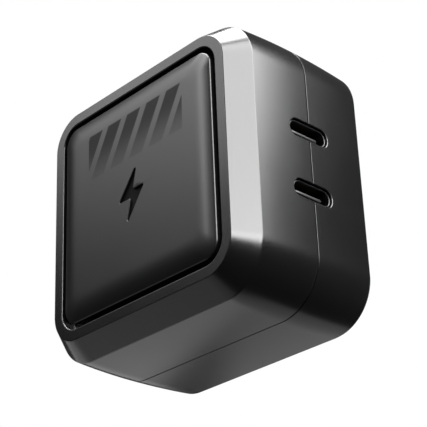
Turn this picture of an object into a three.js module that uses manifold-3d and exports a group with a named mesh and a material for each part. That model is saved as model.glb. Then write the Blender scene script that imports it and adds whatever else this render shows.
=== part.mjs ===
// A square 65 W class USB-C wall charger with a folding two-blade plug, in millimetres.
// +X is the side with the two USB-C ports, +Y is the wall side and +Z is up.
// The origin is at the bottom centre of the folded charger, so it stands on z = 0.
import * as THREE from "three";
import { mergeVertices } from "three/addons/utils/BufferGeometryUtils.js";
import Module from "manifold-3d";

const wasm = await Module();
wasm.setup();

// ---------------------------------------------------------------- driving sizes
// Casing
const BODY_W = 52; // width across the seam, the widest section
const BODY_H = 52; // height across the seam
const BODY_D = 30; // depth from the front rim to the wall face
const SEAM_DEPTH = 16.4; // front rim to the parting line
const CORNER_R = 9.1; // corner radius of the seam section
const FRONT_DRAFT = 0.53; // how much narrower each side is at the front bevel than at the seam
const REAR_DRAFT = 0.5; // how much narrower each side is at the wall face than at the seam
const BEVEL_W = 2.95; // bevel, measured across the front
const BEVEL_D = 4.05; // bevel, measured along the depth
const RIM_CORNER_R = 6.15; // corner radius of the flat front rim, outside
const RIM_W = 2.1; // flat rim around the front panel
const REAR_EDGE_R = 1.15; // rounding of the edge of the wall face
const WALL = 2; // side walls
const REAR_WALL = 2.2;
const SEAM_GAP = 0.2; // visible line between the two housings
const LIP_SKIN = 0.9; // outer part of the front wall that covers the rear housing's lip
const LIP_H = 1.2; // how far that lip reaches into the front housing
// Front panel
const POCKET_D = 2.4; // depth of the panel's pocket behind the rim
const FRONT_WEB = 1.4; // wall at the bottom of that pocket
const GROOVE = 1; // open line between the rim and the panel
const PANEL_CROWN = 0.8; // how far the middle of the panel stands in front of the rim
const PANEL_SHOULDER = 5; // width of the curved shoulder around the panel
const ADHESIVE_T = 0.3;
// USB-C ports
const PORT_SPACING = 11.5;
const PORT_CLEAR = 0.13; // casing to receptacle shell
const USB = { l: 8.94, t: 3.16, wall: 0.3, length: 8, recess: 0.4 };
const TONGUE = { l: 6.69, t: 0.7, base: 3, recess: 1 };
// Folding plug
const BLADE = { t: 1.5, w: 6.35, pitch: 12.7, reach: 16.5, tip: 1.6, holeR: 1.5, holeAt: 4.2 };
const BLADE_TAIL = { w: 4, r: 5.2 }; // tail of each blade behind the hinge axis
const BLADE_SET = 0.3; // folded blades lie this far below the wall face
const BARREL = { r: 4, end: 1.5 }; // carrier: rounded corners, and plastic outside each blade
const BARREL_SET = 0.05; // its flat faces lie this far below the wall face
const TRUNNION = { r: 1.5, l: 1.2 };
const HINGE_BELOW_TOP = 18; // hinge axis below the top of the casing
const CRADLE_WALL = 1.4;
const COVER_T = 1.2;
const SCOOP = { r: 7, depth: 5, w: 19, aboveTip: 4.5 }; // finger hollow across the blade tips
const SPRING_T = 0.3;
const SPRING_LEG = 1; // how far the contact springs stand out of the cover
const SCREW = { r: 0.8, headR: 1.5, headT: 0.9, l: 5, bossR: 1.9 };
const LEAD_R = 0.7;
// Electronics
const BOARD_T = 1.2;
const STANDOFF = 2.6; // front web to the main board
const POST_R = 1.5;
const POST_INSET = 6.7; // post centre to the outside of the casing
const SPREADER_T = 0.5;
const FILM_T = 0.3;
const CHIP_T = 0.9;
const FUSE = { w: 8, t: 3.6, h: 4 };
const CHOKE_WIRE = 1.2; // thickness of the windings around the choke's ring
const CHOKE_ARC = 2.3; // angle that each of the two windings covers, in radians
const BOBBIN_WALL = 0.8;
// Parts of the free room on the main board that the larger components fill
const SHARE = {
  transformer: 0.6, // height of the wound bobbin, of the room below the leads
  choke: 0.38, // diameter of the wound choke, of the same room
  coreW: 0.8, // of the strip between the capacitors and the ports
  coreT: 0.44, // of the bobbin's height
  coreD: 0.85, // of the depth under the blade slots
  ringT: 0.4, // of the depth under the cradle's cover
  input: 0.75, // depth and height of the input parts, of the room above the leads
  filmCap: 0.4, // of the strip's width
  disc: 0.1,
  bridge: 0.28,
};
// Clearances
const SEAT = 0.05; // between faces that rest on each other
const FIT = 0.2; // around a piece in its pocket
const RUN = 0.15; // around a trunnion, on the radius
const SWEEP = 0.4; // around anything that turns
const APART = 0.6; // between neighbours on a board
// Facets
const CORNER_STEPS = 8;
const ROUND_STEPS = 24;
const PAST = 1; // how far a cutter runs past the face that it opens

// ---------------------------------------------------------------- places that follow from them
const zMid = BODY_H / 2;
const yWall = (BODY_D + PANEL_CROWN) / 2;
const yRim = yWall - BODY_D;
const yBevel = yRim + BEVEL_D;
const ySeam = yRim + SEAM_DEPTH;
const yCavity = yRim + POCKET_D + FRONT_WEB;
const yRearCavity = yWall - REAR_WALL;

// Hinge and cradle
const zHinge = BODY_H - HINGE_BELOW_TOP;
const yHinge = yWall - BLADE_SET - BLADE.w / 2;
const barrelFlat = yWall - BARREL_SET - yHinge;
const bladeX = [-BLADE.pitch / 2, BLADE.pitch / 2];
const bladeTipZ = zHinge - BLADE.reach - barrelFlat;
const slotHalf = BLADE.t / 2 + SWEEP;
const slotLow = bladeTipZ - 2 * SWEEP;
const ySlot = yHinge - BLADE.w / 2 - SWEEP;
const barrelHalf = BLADE.pitch / 2 + BLADE.t / 2 + BARREL.end;
const chamberHalf = barrelHalf + SWEEP;
const chamberLow = zHinge - BARREL.r - SWEEP;
const chamberHigh = zHinge + BLADE_TAIL.r + SWEEP;
const cradleHalf = chamberHalf + CRADLE_WALL;
const yCover = yHinge - BLADE_TAIL.r - 1.4; // chamber side of the cradle's cover
const yCoverBack = yCover - COVER_T;
const screwZ = chamberHigh + CRADLE_WALL / 2 + SCREW.bossR;
const legZ = chamberHigh - 0.9; // where the contact springs pass through the cover
const scoopZ = bladeTipZ + SCOOP.aboveTip;

// Boards
const yBoard = yCavity + STANDOFF; // solder side of the main board
const yBoardTop = yBoard + BOARD_T;
const yStand = yBoardTop + SEAT; // foot of everything on the main board
const boardHalf = {
  w: BODY_W / 2 - FRONT_DRAFT - WALL - 2 * FIT,
  h: BODY_H / 2 - FRONT_DRAFT - WALL - 2 * FIT,
};
const xMouth = BODY_W / 2 - USB.recess;
const xOutBoard = xMouth - USB.length - SEAT; // port side of the output board
const xOutChip = xOutBoard - BOARD_T - SEAT - CHIP_T;
const portZ = [zMid + PORT_SPACING / 2, zMid - PORT_SPACING / 2];

// Room for what stands on the main board: under the cover, under the blade slots, and beside the cradle.
const underCover = yCoverBack - yStand;
const underSlots = ySlot - CRADLE_WALL - yStand;
const bulk = {
  r: Math.min(
    (boardHalf.w - cradleHalf - 2 * APART) / 2,
    (BODY_H / 2 - POST_INSET - POST_R - 2 * APART) / 3,
  ),
  h: yRearCavity - 2 * APART - yStand,
};
bulk.x = APART + bulk.r - boardHalf.w;
const bulkPitch = 2 * bulk.r + APART;
const midX = (bulk.x + bulk.r + xOutChip) / 2; // middle of the strip between capacitors and ports
const stripW = xOutChip - bulk.x - bulk.r;
const stripLow = zMid - boardHalf.h + APART;
const stripHigh = zMid + boardHalf.h - APART;
const transformerLow = stripLow + FUSE.t + APART;
const coilRoom = legZ - LEAD_R - 2 * APART - transformerLow; // height for transformer and choke
const transformerH = SHARE.transformer * coilRoom;
const core = { w: SHARE.coreW * stripW, t: SHARE.coreT * transformerH, h: SHARE.coreD * underSlots };
Object.assign(core, { side: core.w / 9, middle: core.w / 4.4, back: core.h / 5.5 });
const transformerZ = transformerLow + transformerH / 2;
const yCoreMid = yStand + core.h / 2;
const chokeHalf = (SHARE.choke * coilRoom) / 2; // over its windings
const choke = {
  x: bulk.x + bulk.r + APART + chokeHalf,
  z: transformerLow + coilRoom - chokeHalf,
  outer: chokeHalf - CHOKE_WIRE,
  t: SHARE.ringT * underCover,
};
choke.inner = 0.55 * choke.outer;
choke.y = yStand + CHOKE_WIRE + choke.t / 2;
const inputRow = { t: SHARE.input * (stripHigh - legZ - LEAD_R), h: SHARE.input * underCover };
inputRow.z = stripHigh - inputRow.t / 2;

// ---------------------------------------------------------------- materials
const paint = (color, roughness, metalness = 0) =>
  new THREE.MeshStandardMaterial({ color, roughness, metalness });
const MATERIAL = {
  casing: paint(0x3a3a3c, 0.35, 0.2),
  panel: paint(0x2c2c2e, 0.5),
  innerPlastic: paint(0x1a1a1b, 0.6),
  plated: paint(0xc8c4b8, 0.3, 1),
  steel: paint(0xb4b4b4, 0.35, 1),
  bronze: paint(0xb98a52, 0.4, 1),
  board: paint(0x1f4a35, 0.55),
  ferrite: paint(0x2e2e30, 0.7),
  bobbin: paint(0x141414, 0.5),
  tape: paint(0xd8b431, 0.5),
  copper: paint(0xb4632e, 0.4, 0.9),
  sleeve: paint(0x24262b, 0.35),
  can: paint(0xc9cacc, 0.35, 1),
  filmCap: paint(0xd7b22c, 0.4),
  discCap: paint(0x2b63a8, 0.4),
  fuse: paint(0x5a3a22, 0.45),
  chip: paint(0x161617, 0.5),
  aluminium: paint(0xb9babc, 0.45, 1),
  film: paint(0xe6e2d6, 0.3),
  pad: paint(0x8d95a3, 0.8),
  liveLead: paint(0x7a4a22, 0.5),
  neutralLead: paint(0x2b5fb3, 0.5),
};

// ---------------------------------------------------------------- shape helpers
// A closed three.js geometry as a manifold solid, for cutting and joining.
function solid(geometry) {
  const bare = geometry.clone();
  for (const key of Object.keys(bare.attributes)) if (key !== "position") bare.deleteAttribute(key);
  const merged = mergeVertices(bare, 1e-4);
  return new wasm.Manifold(
    new wasm.Mesh({
      numProp: 3,
      vertProperties: merged.attributes.position.array,
      triVerts: new Uint32Array(merged.index.array),
    }),
  );
}

const join = (...geometries) => geometries.map(solid).reduce((a, b) => a.add(b));
const weld = (to, ...geometries) => geometries.map(solid).reduce((a, b) => a.add(b), to);
const cut = (from, ...geometries) => geometries.map(solid).reduce((a, b) => a.subtract(b), from);

const box = (x0, x1, y0, y1, z0, z1) =>
  new THREE.BoxGeometry(x1 - x0, y1 - y0, z1 - z0).translate((x0 + x1) / 2, (y0 + y1) / 2, (z0 + z1) / 2);

// A round bar between two places on an axis; a and b are its place on the two other axes.
function rod(axis, r, from, to, a, b, steps = ROUND_STEPS) {
  const g = new THREE.CylinderGeometry(r, r, to - from, steps);
  const middle = (from + to) / 2;
  if (axis === "x") return g.rotateZ(-Math.PI / 2).translate(middle, a, b);
  if (axis === "y") return g.translate(a, middle, b);
  return g.rotateX(Math.PI / 2).translate(a, b, middle);
}

// Outline of a rounded rectangle, anticlockwise, as [across, up] pairs.
function roundedOutline(halfW, halfH, r, steps = CORNER_STEPS) {
  const points = [];
  const signs = [[1, 1], [-1, 1], [-1, -1], [1, -1]];
  signs.forEach(([sx, sz], corner) => {
    for (let i = 0; i <= steps; i++) {
      const a = ((corner + i / steps) * Math.PI) / 2;
      points.push([sx * (halfW - r) + r * Math.cos(a), sz * (halfH - r) + r * Math.sin(a)]);
    }
  });
  return points;
}

// A solid through rounded rectangles { y, w, h, r } (half sizes) around the casing's axis, front to back.
function loft(sections) {
  const rings = sections.map(({ y, w, h, r }) =>
    roundedOutline(w, h, r).map(([x, z]) => [x, y, zMid + z]),
  );
  const count = rings[0].length;
  const middles = [sections[0].y, sections.at(-1).y].map((y) => [0, y, zMid]);
  const positions = [...rings.flat(), ...middles].flat();
  const front = rings.length * count;
  const last = (rings.length - 1) * count;
  const index = [];
  for (let i = 0; i < count; i++) {
    const j = (i + 1) % count;
    for (let k = 0; k + 1 < rings.length; k++) {
      const a = k * count;
      const b = a + count;
      index.push(a + i, b + i, b + j, a + i, b + j, a + j);
    }
    index.push(front, i, j, front + 1, last + j, last + i);
  }
  return new THREE.BufferGeometry()
    .setAttribute("position", new THREE.Float32BufferAttribute(positions, 3))
    .setIndex(index);
}

const shapeOf = (points) => new THREE.Shape(points.map(([a, b]) => new THREE.Vector2(a, b)));
const extrude = (points, depth) =>
  new THREE.ExtrudeGeometry(shapeOf(points), { depth, bevelEnabled: false });

// An outline in X and Z, carried from y0 to y1.
const prismY = (points, y0, y1) =>
  extrude(points, y1 - y0).rotateX(Math.PI / 2).translate(0, y1, 0);
// An outline in Y and Z, carried from x0 to x1.
const alongX = new THREE.Matrix4().makeBasis(
  new THREE.Vector3(0, 1, 0),
  new THREE.Vector3(0, 0, 1),
  new THREE.Vector3(1, 0, 0),
);
const prismX = (points, x0, x1) => extrude(points, x1 - x0).applyMatrix4(alongX).translate(x0, 0, 0);
// An outline in X and Y, carried from z0 to z1.
const prismZ = (points, z0, z1) => extrude(points, z1 - z0).translate(0, 0, z0);

const shift = (points, a, b) => points.map(([p, q]) => [p + a, q + b]);
const rectangle = (halfA, halfB) => [[-halfA, -halfB], [halfA, -halfB], [halfA, halfB], [-halfA, halfB]];

// Outline of a bent strip of even thickness: its middle line moved to both sides, mitred at the bends.
function strip(line, thickness) {
  const side = (sign) =>
    line.map(([a, b], i) => {
      const [pa, pb] = line[Math.max(i - 1, 0)];
      const [na, nb] = line[Math.min(i + 1, line.length - 1)];
      const before = new THREE.Vector2(a - pa, b - pb).normalize();
      const after = new THREE.Vector2(na - a, nb - b).normalize();
      const along = before.clone().add(after).normalize();
      const share = Math.max(along.dot(i ? before : after), 0.5);
      return [a - (sign * along.y * thickness) / 2 / share, b + (sign * along.x * thickness) / 2 / share];
    });
  return [...side(-1), ...side(1).reverse()];
}

// ---------------------------------------------------------------- the object
const charger = new THREE.Group();
function add(name, shape, material) {
  let geometry = shape;
  if (!shape.isBufferGeometry) {
    const { vertProperties, triVerts } = shape.getMesh();
    geometry = new THREE.BufferGeometry()
      .setAttribute("position", new THREE.BufferAttribute(vertProperties, 3))
      .setIndex(new THREE.BufferAttribute(triVerts, 1));
  }
  geometry.computeVertexNormals();
  const mesh = new THREE.Mesh(geometry, material);
  mesh.name = name;
  charger.add(mesh);
}

// Half sizes and corner radius of the casing, `inset` inside the section that is `narrower` than the seam.
const section = (y, narrower, inset = 0) => ({
  y,
  w: BODY_W / 2 - narrower - inset,
  h: BODY_H / 2 - narrower - inset,
  r: CORNER_R - narrower - inset,
});
const rimSection = (y, inset = 0) => ({
  y,
  w: BODY_W / 2 - FRONT_DRAFT - BEVEL_W - inset,
  h: BODY_H / 2 - FRONT_DRAFT - BEVEL_W - inset,
  r: RIM_CORNER_R - inset,
});

// The opening that both housings leave for a port, on the seam.
const portOutline = (grow, z) =>
  shift(roundedOutline(USB.l / 2 + grow, USB.t / 2 + grow, 0.98 * (USB.t / 2 + grow), 5), ySeam, z);
const portCuts = () =>
  portZ.map((z) => prismX(portOutline(PORT_CLEAR, z), BODY_W / 2 - WALL - PAST, BODY_W / 2 + PAST));

const postPlaces = [-1, 1].flatMap((sx) =>
  [-1, 1].map((sz) => [sx * (BODY_W / 2 - POST_INSET), zMid + sz * (BODY_H / 2 - POST_INSET)]),
);

function frontHousing() {
  const ySplit = ySeam - SEAM_GAP / 2;
  const outside = loft([rimSection(yRim), section(yBevel, FRONT_DRAFT), section(ySplit, 0)]);
  const cavity = loft([section(yCavity, FRONT_DRAFT, WALL), section(ySplit + PAST, 0, WALL)]);
  const rebate = loft([
    section(ySplit - LIP_H - FIT, 0, LIP_SKIN),
    section(ySplit + PAST, 0, LIP_SKIN),
  ]);
  const pocket = loft([rimSection(yRim - PAST, RIM_W), rimSection(yRim + POCKET_D, RIM_W)]);
  const shell = cut(solid(outside), cavity, rebate, pocket, ...portCuts());
  const posts = postPlaces.map(([x, z]) =>
    rod("y", POST_R, yCavity - FRONT_WEB / 2, yBoard - SEAT, x, z, 12),
  );
  return weld(shell, ...posts);
}
add("front_housing", frontHousing(), MATERIAL.casing);

// The panel's crown rises steeply at its edge and flattens over the shoulder.
function frontPanel() {
  const yBack = yRim + POCKET_D - SEAT - ADHESIVE_T - SEAT;
  const edge = rimSection(yRim, RIM_W + GROOVE);
  const levels = 6;
  const crown = Array.from({ length: levels + 1 }, (_, i) => {
    const share = 1 - i / levels;
    const inset = PANEL_SHOULDER * share;
    return {
      y: yRim - PANEL_CROWN * (1 - (1 - share) ** 3),
      w: edge.w - inset,
      h: edge.h - inset,
      r: edge.r * (1 - share / 2),
    };
  });
  return loft([...crown, { ...edge, y: yBack }]);
}
add("front_panel", frontPanel(), MATERIAL.panel);

const yAdhesive = yRim + POCKET_D - SEAT;
const adhesiveSection = (y) => rimSection(y, RIM_W + 2 * GROOVE);
add("panel_adhesive", loft([yAdhesive - ADHESIVE_T, yAdhesive].map(adhesiveSection)), MATERIAL.film);

// Outline in Y and Z of a bearing slot: open towards the cover, round around the hinge axis.
function bearingSlot(r) {
  const points = [[yCover - PAST, zHinge - r]];
  for (let i = 0; i <= 8; i++) {
    const a = (i / 8 - 0.5) * Math.PI;
    points.push([yHinge + r * Math.cos(a), zHinge + r * Math.sin(a)]);
  }
  return [...points, [yCover - PAST, zHinge + r]];
}

function rearHousing() {
  const ySplit = ySeam + SEAM_GAP / 2;
  const yLip = ySplit - SEAM_GAP - LIP_H;
  const edge = [0, 1, 2, 3].map((i) => {
    const a = (i / 3) * (Math.PI / 2);
    return section(
      yWall - REAR_EDGE_R * (1 - Math.sin(a)),
      REAR_DRAFT + REAR_EDGE_R * (1 - Math.cos(a)),
    );
  });
  const outside = loft([section(ySplit, 0), ...edge]);
  const lip = loft([yLip, ySplit + PAST].map((y) => section(y, 0, LIP_SKIN + FIT)));
  const cavity = loft([
    section(yLip - PAST, 0, WALL),
    section(ySplit, 0, WALL),
    section(yRearCavity, REAR_DRAFT, WALL),
  ]);
  const shell = cut(join(outside, lip), cavity);

  // Cradle: walls around the hinge chamber, the finger hollow and the blade slots, and screw bosses.
  const yInto = yRearCavity + REAR_WALL / 2;
  const scoopHalf = Math.sqrt(SCOOP.r ** 2 - (SCOOP.r - SCOOP.depth) ** 2) + CRADLE_WALL;
  const scoopSide = SCOOP.w / 2 + CRADLE_WALL;
  const yScoop = yWall - SCOOP.depth;
  const slotSide = slotHalf + CRADLE_WALL;
  const yFoot = yCover + SEAT;
  const walls = [
    box(-cradleHalf, cradleHalf, yFoot, yInto, chamberLow - CRADLE_WALL, chamberHigh + CRADLE_WALL),
    box(-scoopSide, scoopSide, yScoop - CRADLE_WALL, yInto, scoopZ - scoopHalf, scoopZ + scoopHalf),
    ...bladeX.map((x) =>
      box(x - slotSide, x + slotSide, ySlot - CRADLE_WALL, yInto, slotLow - CRADLE_WALL, chamberLow),
    ),
    ...bladeX.map((x) => rod("y", SCREW.bossR, yFoot, yInto, x, screwZ, 16)),
  ];
  const yRoof = yHinge + BLADE_TAIL.w / 2 + SWEEP;
  const bearingSide = cradleHalf - FIT;
  const cuts = [
    box(-chamberHalf, chamberHalf, yCover - PAST, yRoof, chamberLow, chamberHigh),
    box(-chamberHalf, chamberHalf, yHinge, yWall + PAST, chamberLow, zHinge + BARREL.r + SWEEP),
    prismX(bearingSlot(TRUNNION.r + RUN), -bearingSide, bearingSide),
    ...bladeX.map((x) => box(x - slotHalf, x + slotHalf, ySlot, yWall + PAST, slotLow, zHinge)),
    rod("x", SCOOP.r, -SCOOP.w / 2, SCOOP.w / 2, yScoop + SCOOP.r, scoopZ, 40),
    ...bladeX.map((x) => rod("y", SCREW.r + RUN, yCover - PAST, yCover + SCREW.l, x, screwZ, 12)),
  ];
  const posts = postPlaces.map(([x, z]) => rod("y", POST_R, yBoardTop + FIT, yInto, x, z, 12));
  return weld(cut(weld(shell, ...walls), ...cuts, ...portCuts()), ...posts);
}
add("rear_housing", rearHousing(), MATERIAL.casing);

// ---------------------------------------------------------------- folding plug, folded down
// Outline in Y and Z of a blade, with its bevelled tip below and its round tail above the axis.
function bladeOutline(grow) {
  const half = BLADE.w / 2 + grow;
  const tail = BLADE_TAIL.w / 2 + grow;
  const tailR = BLADE_TAIL.r + grow;
  const shoulderZ = zHinge + tail;
  const span = Math.asin(tail / tailR);
  const arc = [-1, -0.5, 0, 0.5, 1].map((k) => [
    yHinge - tailR * Math.sin(k * span),
    zHinge + tailR * Math.cos(k * span),
  ]);
  return [
    [yHinge - half + BLADE.tip, bladeTipZ],
    [yHinge + half - BLADE.tip, bladeTipZ],
    [yHinge + half, bladeTipZ + BLADE.tip],
    [yHinge + half, shoulderZ],
    [yHinge + tail, shoulderZ],
    ...arc,
    [yHinge - tail, shoulderZ],
    [yHinge - half, shoulderZ],
    [yHinge - half, bladeTipZ + BLADE.tip],
  ];
}

// Carrier: a bar with four flats and rounded corners, a trunnion at each end, moulded around the blades.
function plugCarrier() {
  const flat = (v) => THREE.MathUtils.clamp(v, -barrelFlat, barrelFlat);
  const profile = Array.from({ length: 32 }, (_, i) => {
    const a = ((i + 0.5) / 32) * 2 * Math.PI;
    return [yHinge + flat(BARREL.r * Math.cos(a)), zHinge + flat(BARREL.r * Math.sin(a))];
  });
  const end = barrelHalf + TRUNNION.l;
  const bar = join(
    prismX(profile, -barrelHalf, barrelHalf),
    rod("x", TRUNNION.r, -end, end, yHinge, zHinge, 16),
  );
  const side = BLADE.t / 2 + SEAT;
  return cut(bar, ...bladeX.map((x) => prismX(bladeOutline(SEAT), x - side, x + side)));
}
add("plug_carrier", plugCarrier(), MATERIAL.innerPlastic);

["blade_left", "blade_right"].forEach((name, i) => {
  const x = bladeX[i];
  const plate = prismX(bladeOutline(0), x - BLADE.t / 2, x + BLADE.t / 2);
  const hole = rod("x", BLADE.holeR, x - BLADE.t, x + BLADE.t, yHinge, bladeTipZ + BLADE.holeAt, 16);
  add(name, cut(solid(plate), hole), MATERIAL.plated);
});

// ---------------------------------------------------------------- cradle cover, screws and springs
const contactW = 2.8;
function cradleCover() {
  const plateLow = chamberLow - CRADLE_WALL;
  const cover = box(-cradleHalf, cradleHalf, yCoverBack, yCover, plateLow, screwZ + SCREW.bossR);
  const lugW = CRADLE_WALL - 3 * FIT;
  const lugX = chamberHalf + FIT + lugW / 2;
  const lugs = [-lugX, lugX].map((x) =>
    box(x - lugW / 2, x + lugW / 2, yCover - COVER_T / 2, yHinge - TRUNNION.r - RUN,
      zHinge - TRUNNION.r, zHinge + TRUNNION.r),
  );
  const slitW = contactW / 2 + FIT;
  const slitZ = SPRING_T / 2 + FIT;
  const slits = bladeX.map((x) =>
    box(x - slitW, x + slitW, yCoverBack - PAST, yCover + PAST, legZ - slitZ, legZ + slitZ),
  );
  const screwHoles = bladeX.map((x) =>
    rod("y", SCREW.r + RUN, yCoverBack - PAST, yCover + PAST, x, screwZ, 12),
  );
  return cut(join(cover, ...lugs), ...slits, ...screwHoles);
}
add("cradle_cover", cradleCover(), MATERIAL.innerPlastic);

["cradle_screw_left", "cradle_screw_right"].forEach((name, i) => {
  const x = bladeX[i];
  const yHead = yCoverBack - SEAT;
  const shank = rod("y", SCREW.r, yHead - SCREW.headT / 2, yCover + SCREW.l - FIT, x, screwZ, 12);
  const head = rod("y", SCREW.headR, yHead - SCREW.headT, yHead, x, screwZ, 16);
  const slot = box(x - 0.9, x + 0.9, yHead - SCREW.headT - PAST, yHead - SCREW.headT / 2,
    screwZ - 0.2, screwZ + 0.2);
  add(name, cut(join(shank, head), slot), MATERIAL.steel);
});

// Middle lines of the springs in Y and Z: feet on the cover and an arch towards what turns.
const yFoot = yCover + SEAT + SPRING_T / 2;
const yArch = (r) => yHinge - r - FIT - SPRING_T / 2;
const contactLine = [
  [yFoot, zHinge - 3.2],
  [yFoot, zHinge - 2],
  [yArch(BLADE_TAIL.r), zHinge - 0.6],
  [yArch(BLADE_TAIL.r), zHinge + 0.6],
  [yFoot, zHinge + 2],
  [yFoot, legZ],
  [yCoverBack - SPRING_LEG, legZ],
];
["contact_spring_left", "contact_spring_right"].forEach((name, i) => {
  const x = bladeX[i];
  add(name, prismX(strip(contactLine, SPRING_T), x - contactW / 2, x + contactW / 2), MATERIAL.bronze);
});
const detentLine = [
  [yFoot, zHinge - 4],
  [yFoot, zHinge - 3],
  [yArch(BARREL.r), zHinge - 0.8],
  [yArch(BARREL.r), zHinge + 0.8],
  [yFoot, zHinge + 3],
  [yFoot, zHinge + 4],
];
add("detent_spring", prismX(strip(detentLine, SPRING_T), -2.5, 2.5), MATERIAL.steel);

// Leads from the contact springs down to the main board, slightly bowed.
const leadSection = shapeOf(
  Array.from({ length: 8 }, (_, i) => {
    const a = (i / 8) * 2 * Math.PI;
    return [LEAD_R * Math.cos(a), LEAD_R * Math.sin(a)];
  }),
);
[["live_lead", MATERIAL.liveLead], ["neutral_lead", MATERIAL.neutralLead]].forEach(([name, material], i) => {
  const top = yCoverBack - SPRING_LEG - FIT;
  const bottom = yStand + FIT;
  const extrudePath = new THREE.CatmullRomCurve3(
    [0, 0.35, 0.35, 0].map((bow, k) =>
      new THREE.Vector3(bladeX[i], top + ((bottom - top) * k) / 3, legZ + bow),
    ),
  );
  const lead = new THREE.ExtrudeGeometry(leadSection, { steps: 12, extrudePath, bevelEnabled: false });
  add(name, lead, material);
});

// ---------------------------------------------------------------- USB-C receptacles on their board
["upper", "lower"].forEach((which, i) => {
  const z = portZ[i];
  const xBack = xMouth - USB.length;
  const shell = cut(
    solid(prismX(portOutline(0, z), xBack, xMouth)),
    prismX(portOutline(-USB.wall, z), xBack - PAST, xMouth + PAST),
  );
  add("usb_shell_" + which, shell, MATERIAL.steel);
  const base = prismX(portOutline(-USB.wall - SEAT, z), xBack, xBack + TONGUE.base);
  const tongue = box(xBack + TONGUE.base / 2, xMouth - TONGUE.recess, ySeam - TONGUE.l / 2,
    ySeam + TONGUE.l / 2, z - TONGUE.t / 2, z + TONGUE.t / 2);
  add("usb_tongue_" + which, join(base, tongue), MATERIAL.innerPlastic);
});
const outBoardHalf = (PORT_SPACING + USB.t) / 2 + 3;
const upright = (x, t, y0, y1, half) => box(x, x + t, y0, y1, zMid - half, zMid + half);
const yOutBoard = ySeam + USB.l / 2 + 1.2;
add("output_board", upright(xOutBoard - BOARD_T, BOARD_T, yStand, yOutBoard, outBoardHalf), MATERIAL.board);
add("port_controller", upright(xOutChip, CHIP_T, ySeam - 6, ySeam - 2, 2), MATERIAL.chip);

// ---------------------------------------------------------------- main board and its solder side
const boardOutline = shift(
  roundedOutline(boardHalf.w, boardHalf.h, CORNER_R - FRONT_DRAFT - WALL - 2 * FIT),
  0,
  zMid,
);
add("main_board", prismY(boardOutline, yBoard, yBoardTop), MATERIAL.board);

// From the casing towards the board: heat spreader, insulating film, gap pad and the chips it cools.
const spread = { w: BODY_W / 2 - POST_INSET - POST_R - 1, h: BODY_H / 2 - POST_INSET - POST_R - 1 };
const slab = (w, h, x, z, y0, t) => box(x - w / 2, x + w / 2, y0, y0 + t, z - h / 2, z + h / 2);
const ySpreader = yCavity + SEAT;
const yFilm = ySpreader + SPREADER_T + SEAT;
const yPad = yFilm + FILM_T + SEAT;
const yChip = yBoard - SEAT - CHIP_T;
const sheet = { w: 2 * spread.w, h: 2 * spread.h };
add("heat_spreader", slab(sheet.w, sheet.h, 0, zMid, ySpreader, SPREADER_T), MATERIAL.aluminium);
add("insulating_film", slab(sheet.w + 1, sheet.h + 1, 0, zMid, yFilm, FILM_T), MATERIAL.film);
const coolZ = zMid - spread.h / 2;
add("gap_pad", slab(spread.w, spread.h / 2, 0, coolZ, yPad, yChip - SEAT - yPad), MATERIAL.pad);
add("power_switch", slab(6, 8, -spread.w / 4, coolZ, yChip, CHIP_T), MATERIAL.chip);
add("sync_rectifier", slab(5, 6, spread.w / 4, coolZ, yChip, CHIP_T), MATERIAL.chip);
add("primary_controller", slab(5, 5, 0, zMid + spread.h / 2, yChip, CHIP_T), MATERIAL.chip);

// ---------------------------------------------------------------- component side of the main board
[-1, 0, 1].forEach((k, i) => {
  const can = rod("y", bulk.r, yStand, yStand + bulk.h, bulk.x, zMid + k * bulkPitch, 32);
  add("bulk_capacitor_" + (i + 1), can, MATERIAL.sleeve);
});

// Transformer: two E-shaped core halves around the bobbin's middle tube, with the winding on the tube.
function coreHalf(sign) {
  const half = core.w / 2;
  const reach = core.h / 2 - SEAT / 2;
  const inner = reach - core.back;
  const side = half - core.side;
  const middle = core.middle / 2;
  const outline = [
    [-half, reach], [-half, 0], [-side, 0], [-side, inner], [-middle, inner], [-middle, 0],
    [middle, 0], [middle, inner], [side, inner], [side, 0], [half, 0], [half, reach],
  ].map(([x, y]) => [midX + x, yCoreMid + sign * (y + SEAT / 2)]);
  if (sign < 0) outline.reverse();
  return prismZ(outline, transformerZ - core.t / 2, transformerZ + core.t / 2);
}
add("transformer_core_lower", coreHalf(-1), MATERIAL.ferrite);
add("transformer_core_upper", coreHalf(1), MATERIAL.ferrite);

const tube = { w: core.middle / 2 + FIT, h: core.t / 2 + FIT };
const flange = { w: core.w / 2 - core.side - 2 * FIT, h: transformerH / 2 };
const coilHalf = core.h / 2 - core.back - FIT;
const sleeveY = (outer, inner, y0, y1, r) =>
  cut(
    solid(prismY(shift(roundedOutline(outer.w, outer.h, r, 3), midX, transformerZ), y0, y1)),
    prismY(shift(rectangle(inner.w, inner.h), midX, transformerZ), y0 - PAST, y1 + PAST),
  );
const around = (size, grow) => ({ w: size.w + grow, h: size.h + grow });
const bobbin = [
  sleeveY(around(tube, BOBBIN_WALL), tube, yCoreMid - coilHalf, yCoreMid + coilHalf, 0.4),
  sleeveY(flange, tube, yCoreMid - coilHalf, yCoreMid - coilHalf + BOBBIN_WALL, 1),
  sleeveY(flange, tube, yCoreMid + coilHalf - BOBBIN_WALL, yCoreMid + coilHalf, 1),
].reduce((a, b) => a.add(b));
add("transformer_bobbin", bobbin, MATERIAL.bobbin);
const windHalf = coilHalf - BOBBIN_WALL - SEAT;
const windIn = around(tube, BOBBIN_WALL + SEAT);
const winding = sleeveY(around(flange, -2 * FIT), windIn, yCoreMid - windHalf, yCoreMid + windHalf, 2);
add("transformer_winding", winding, MATERIAL.tape);

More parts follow.
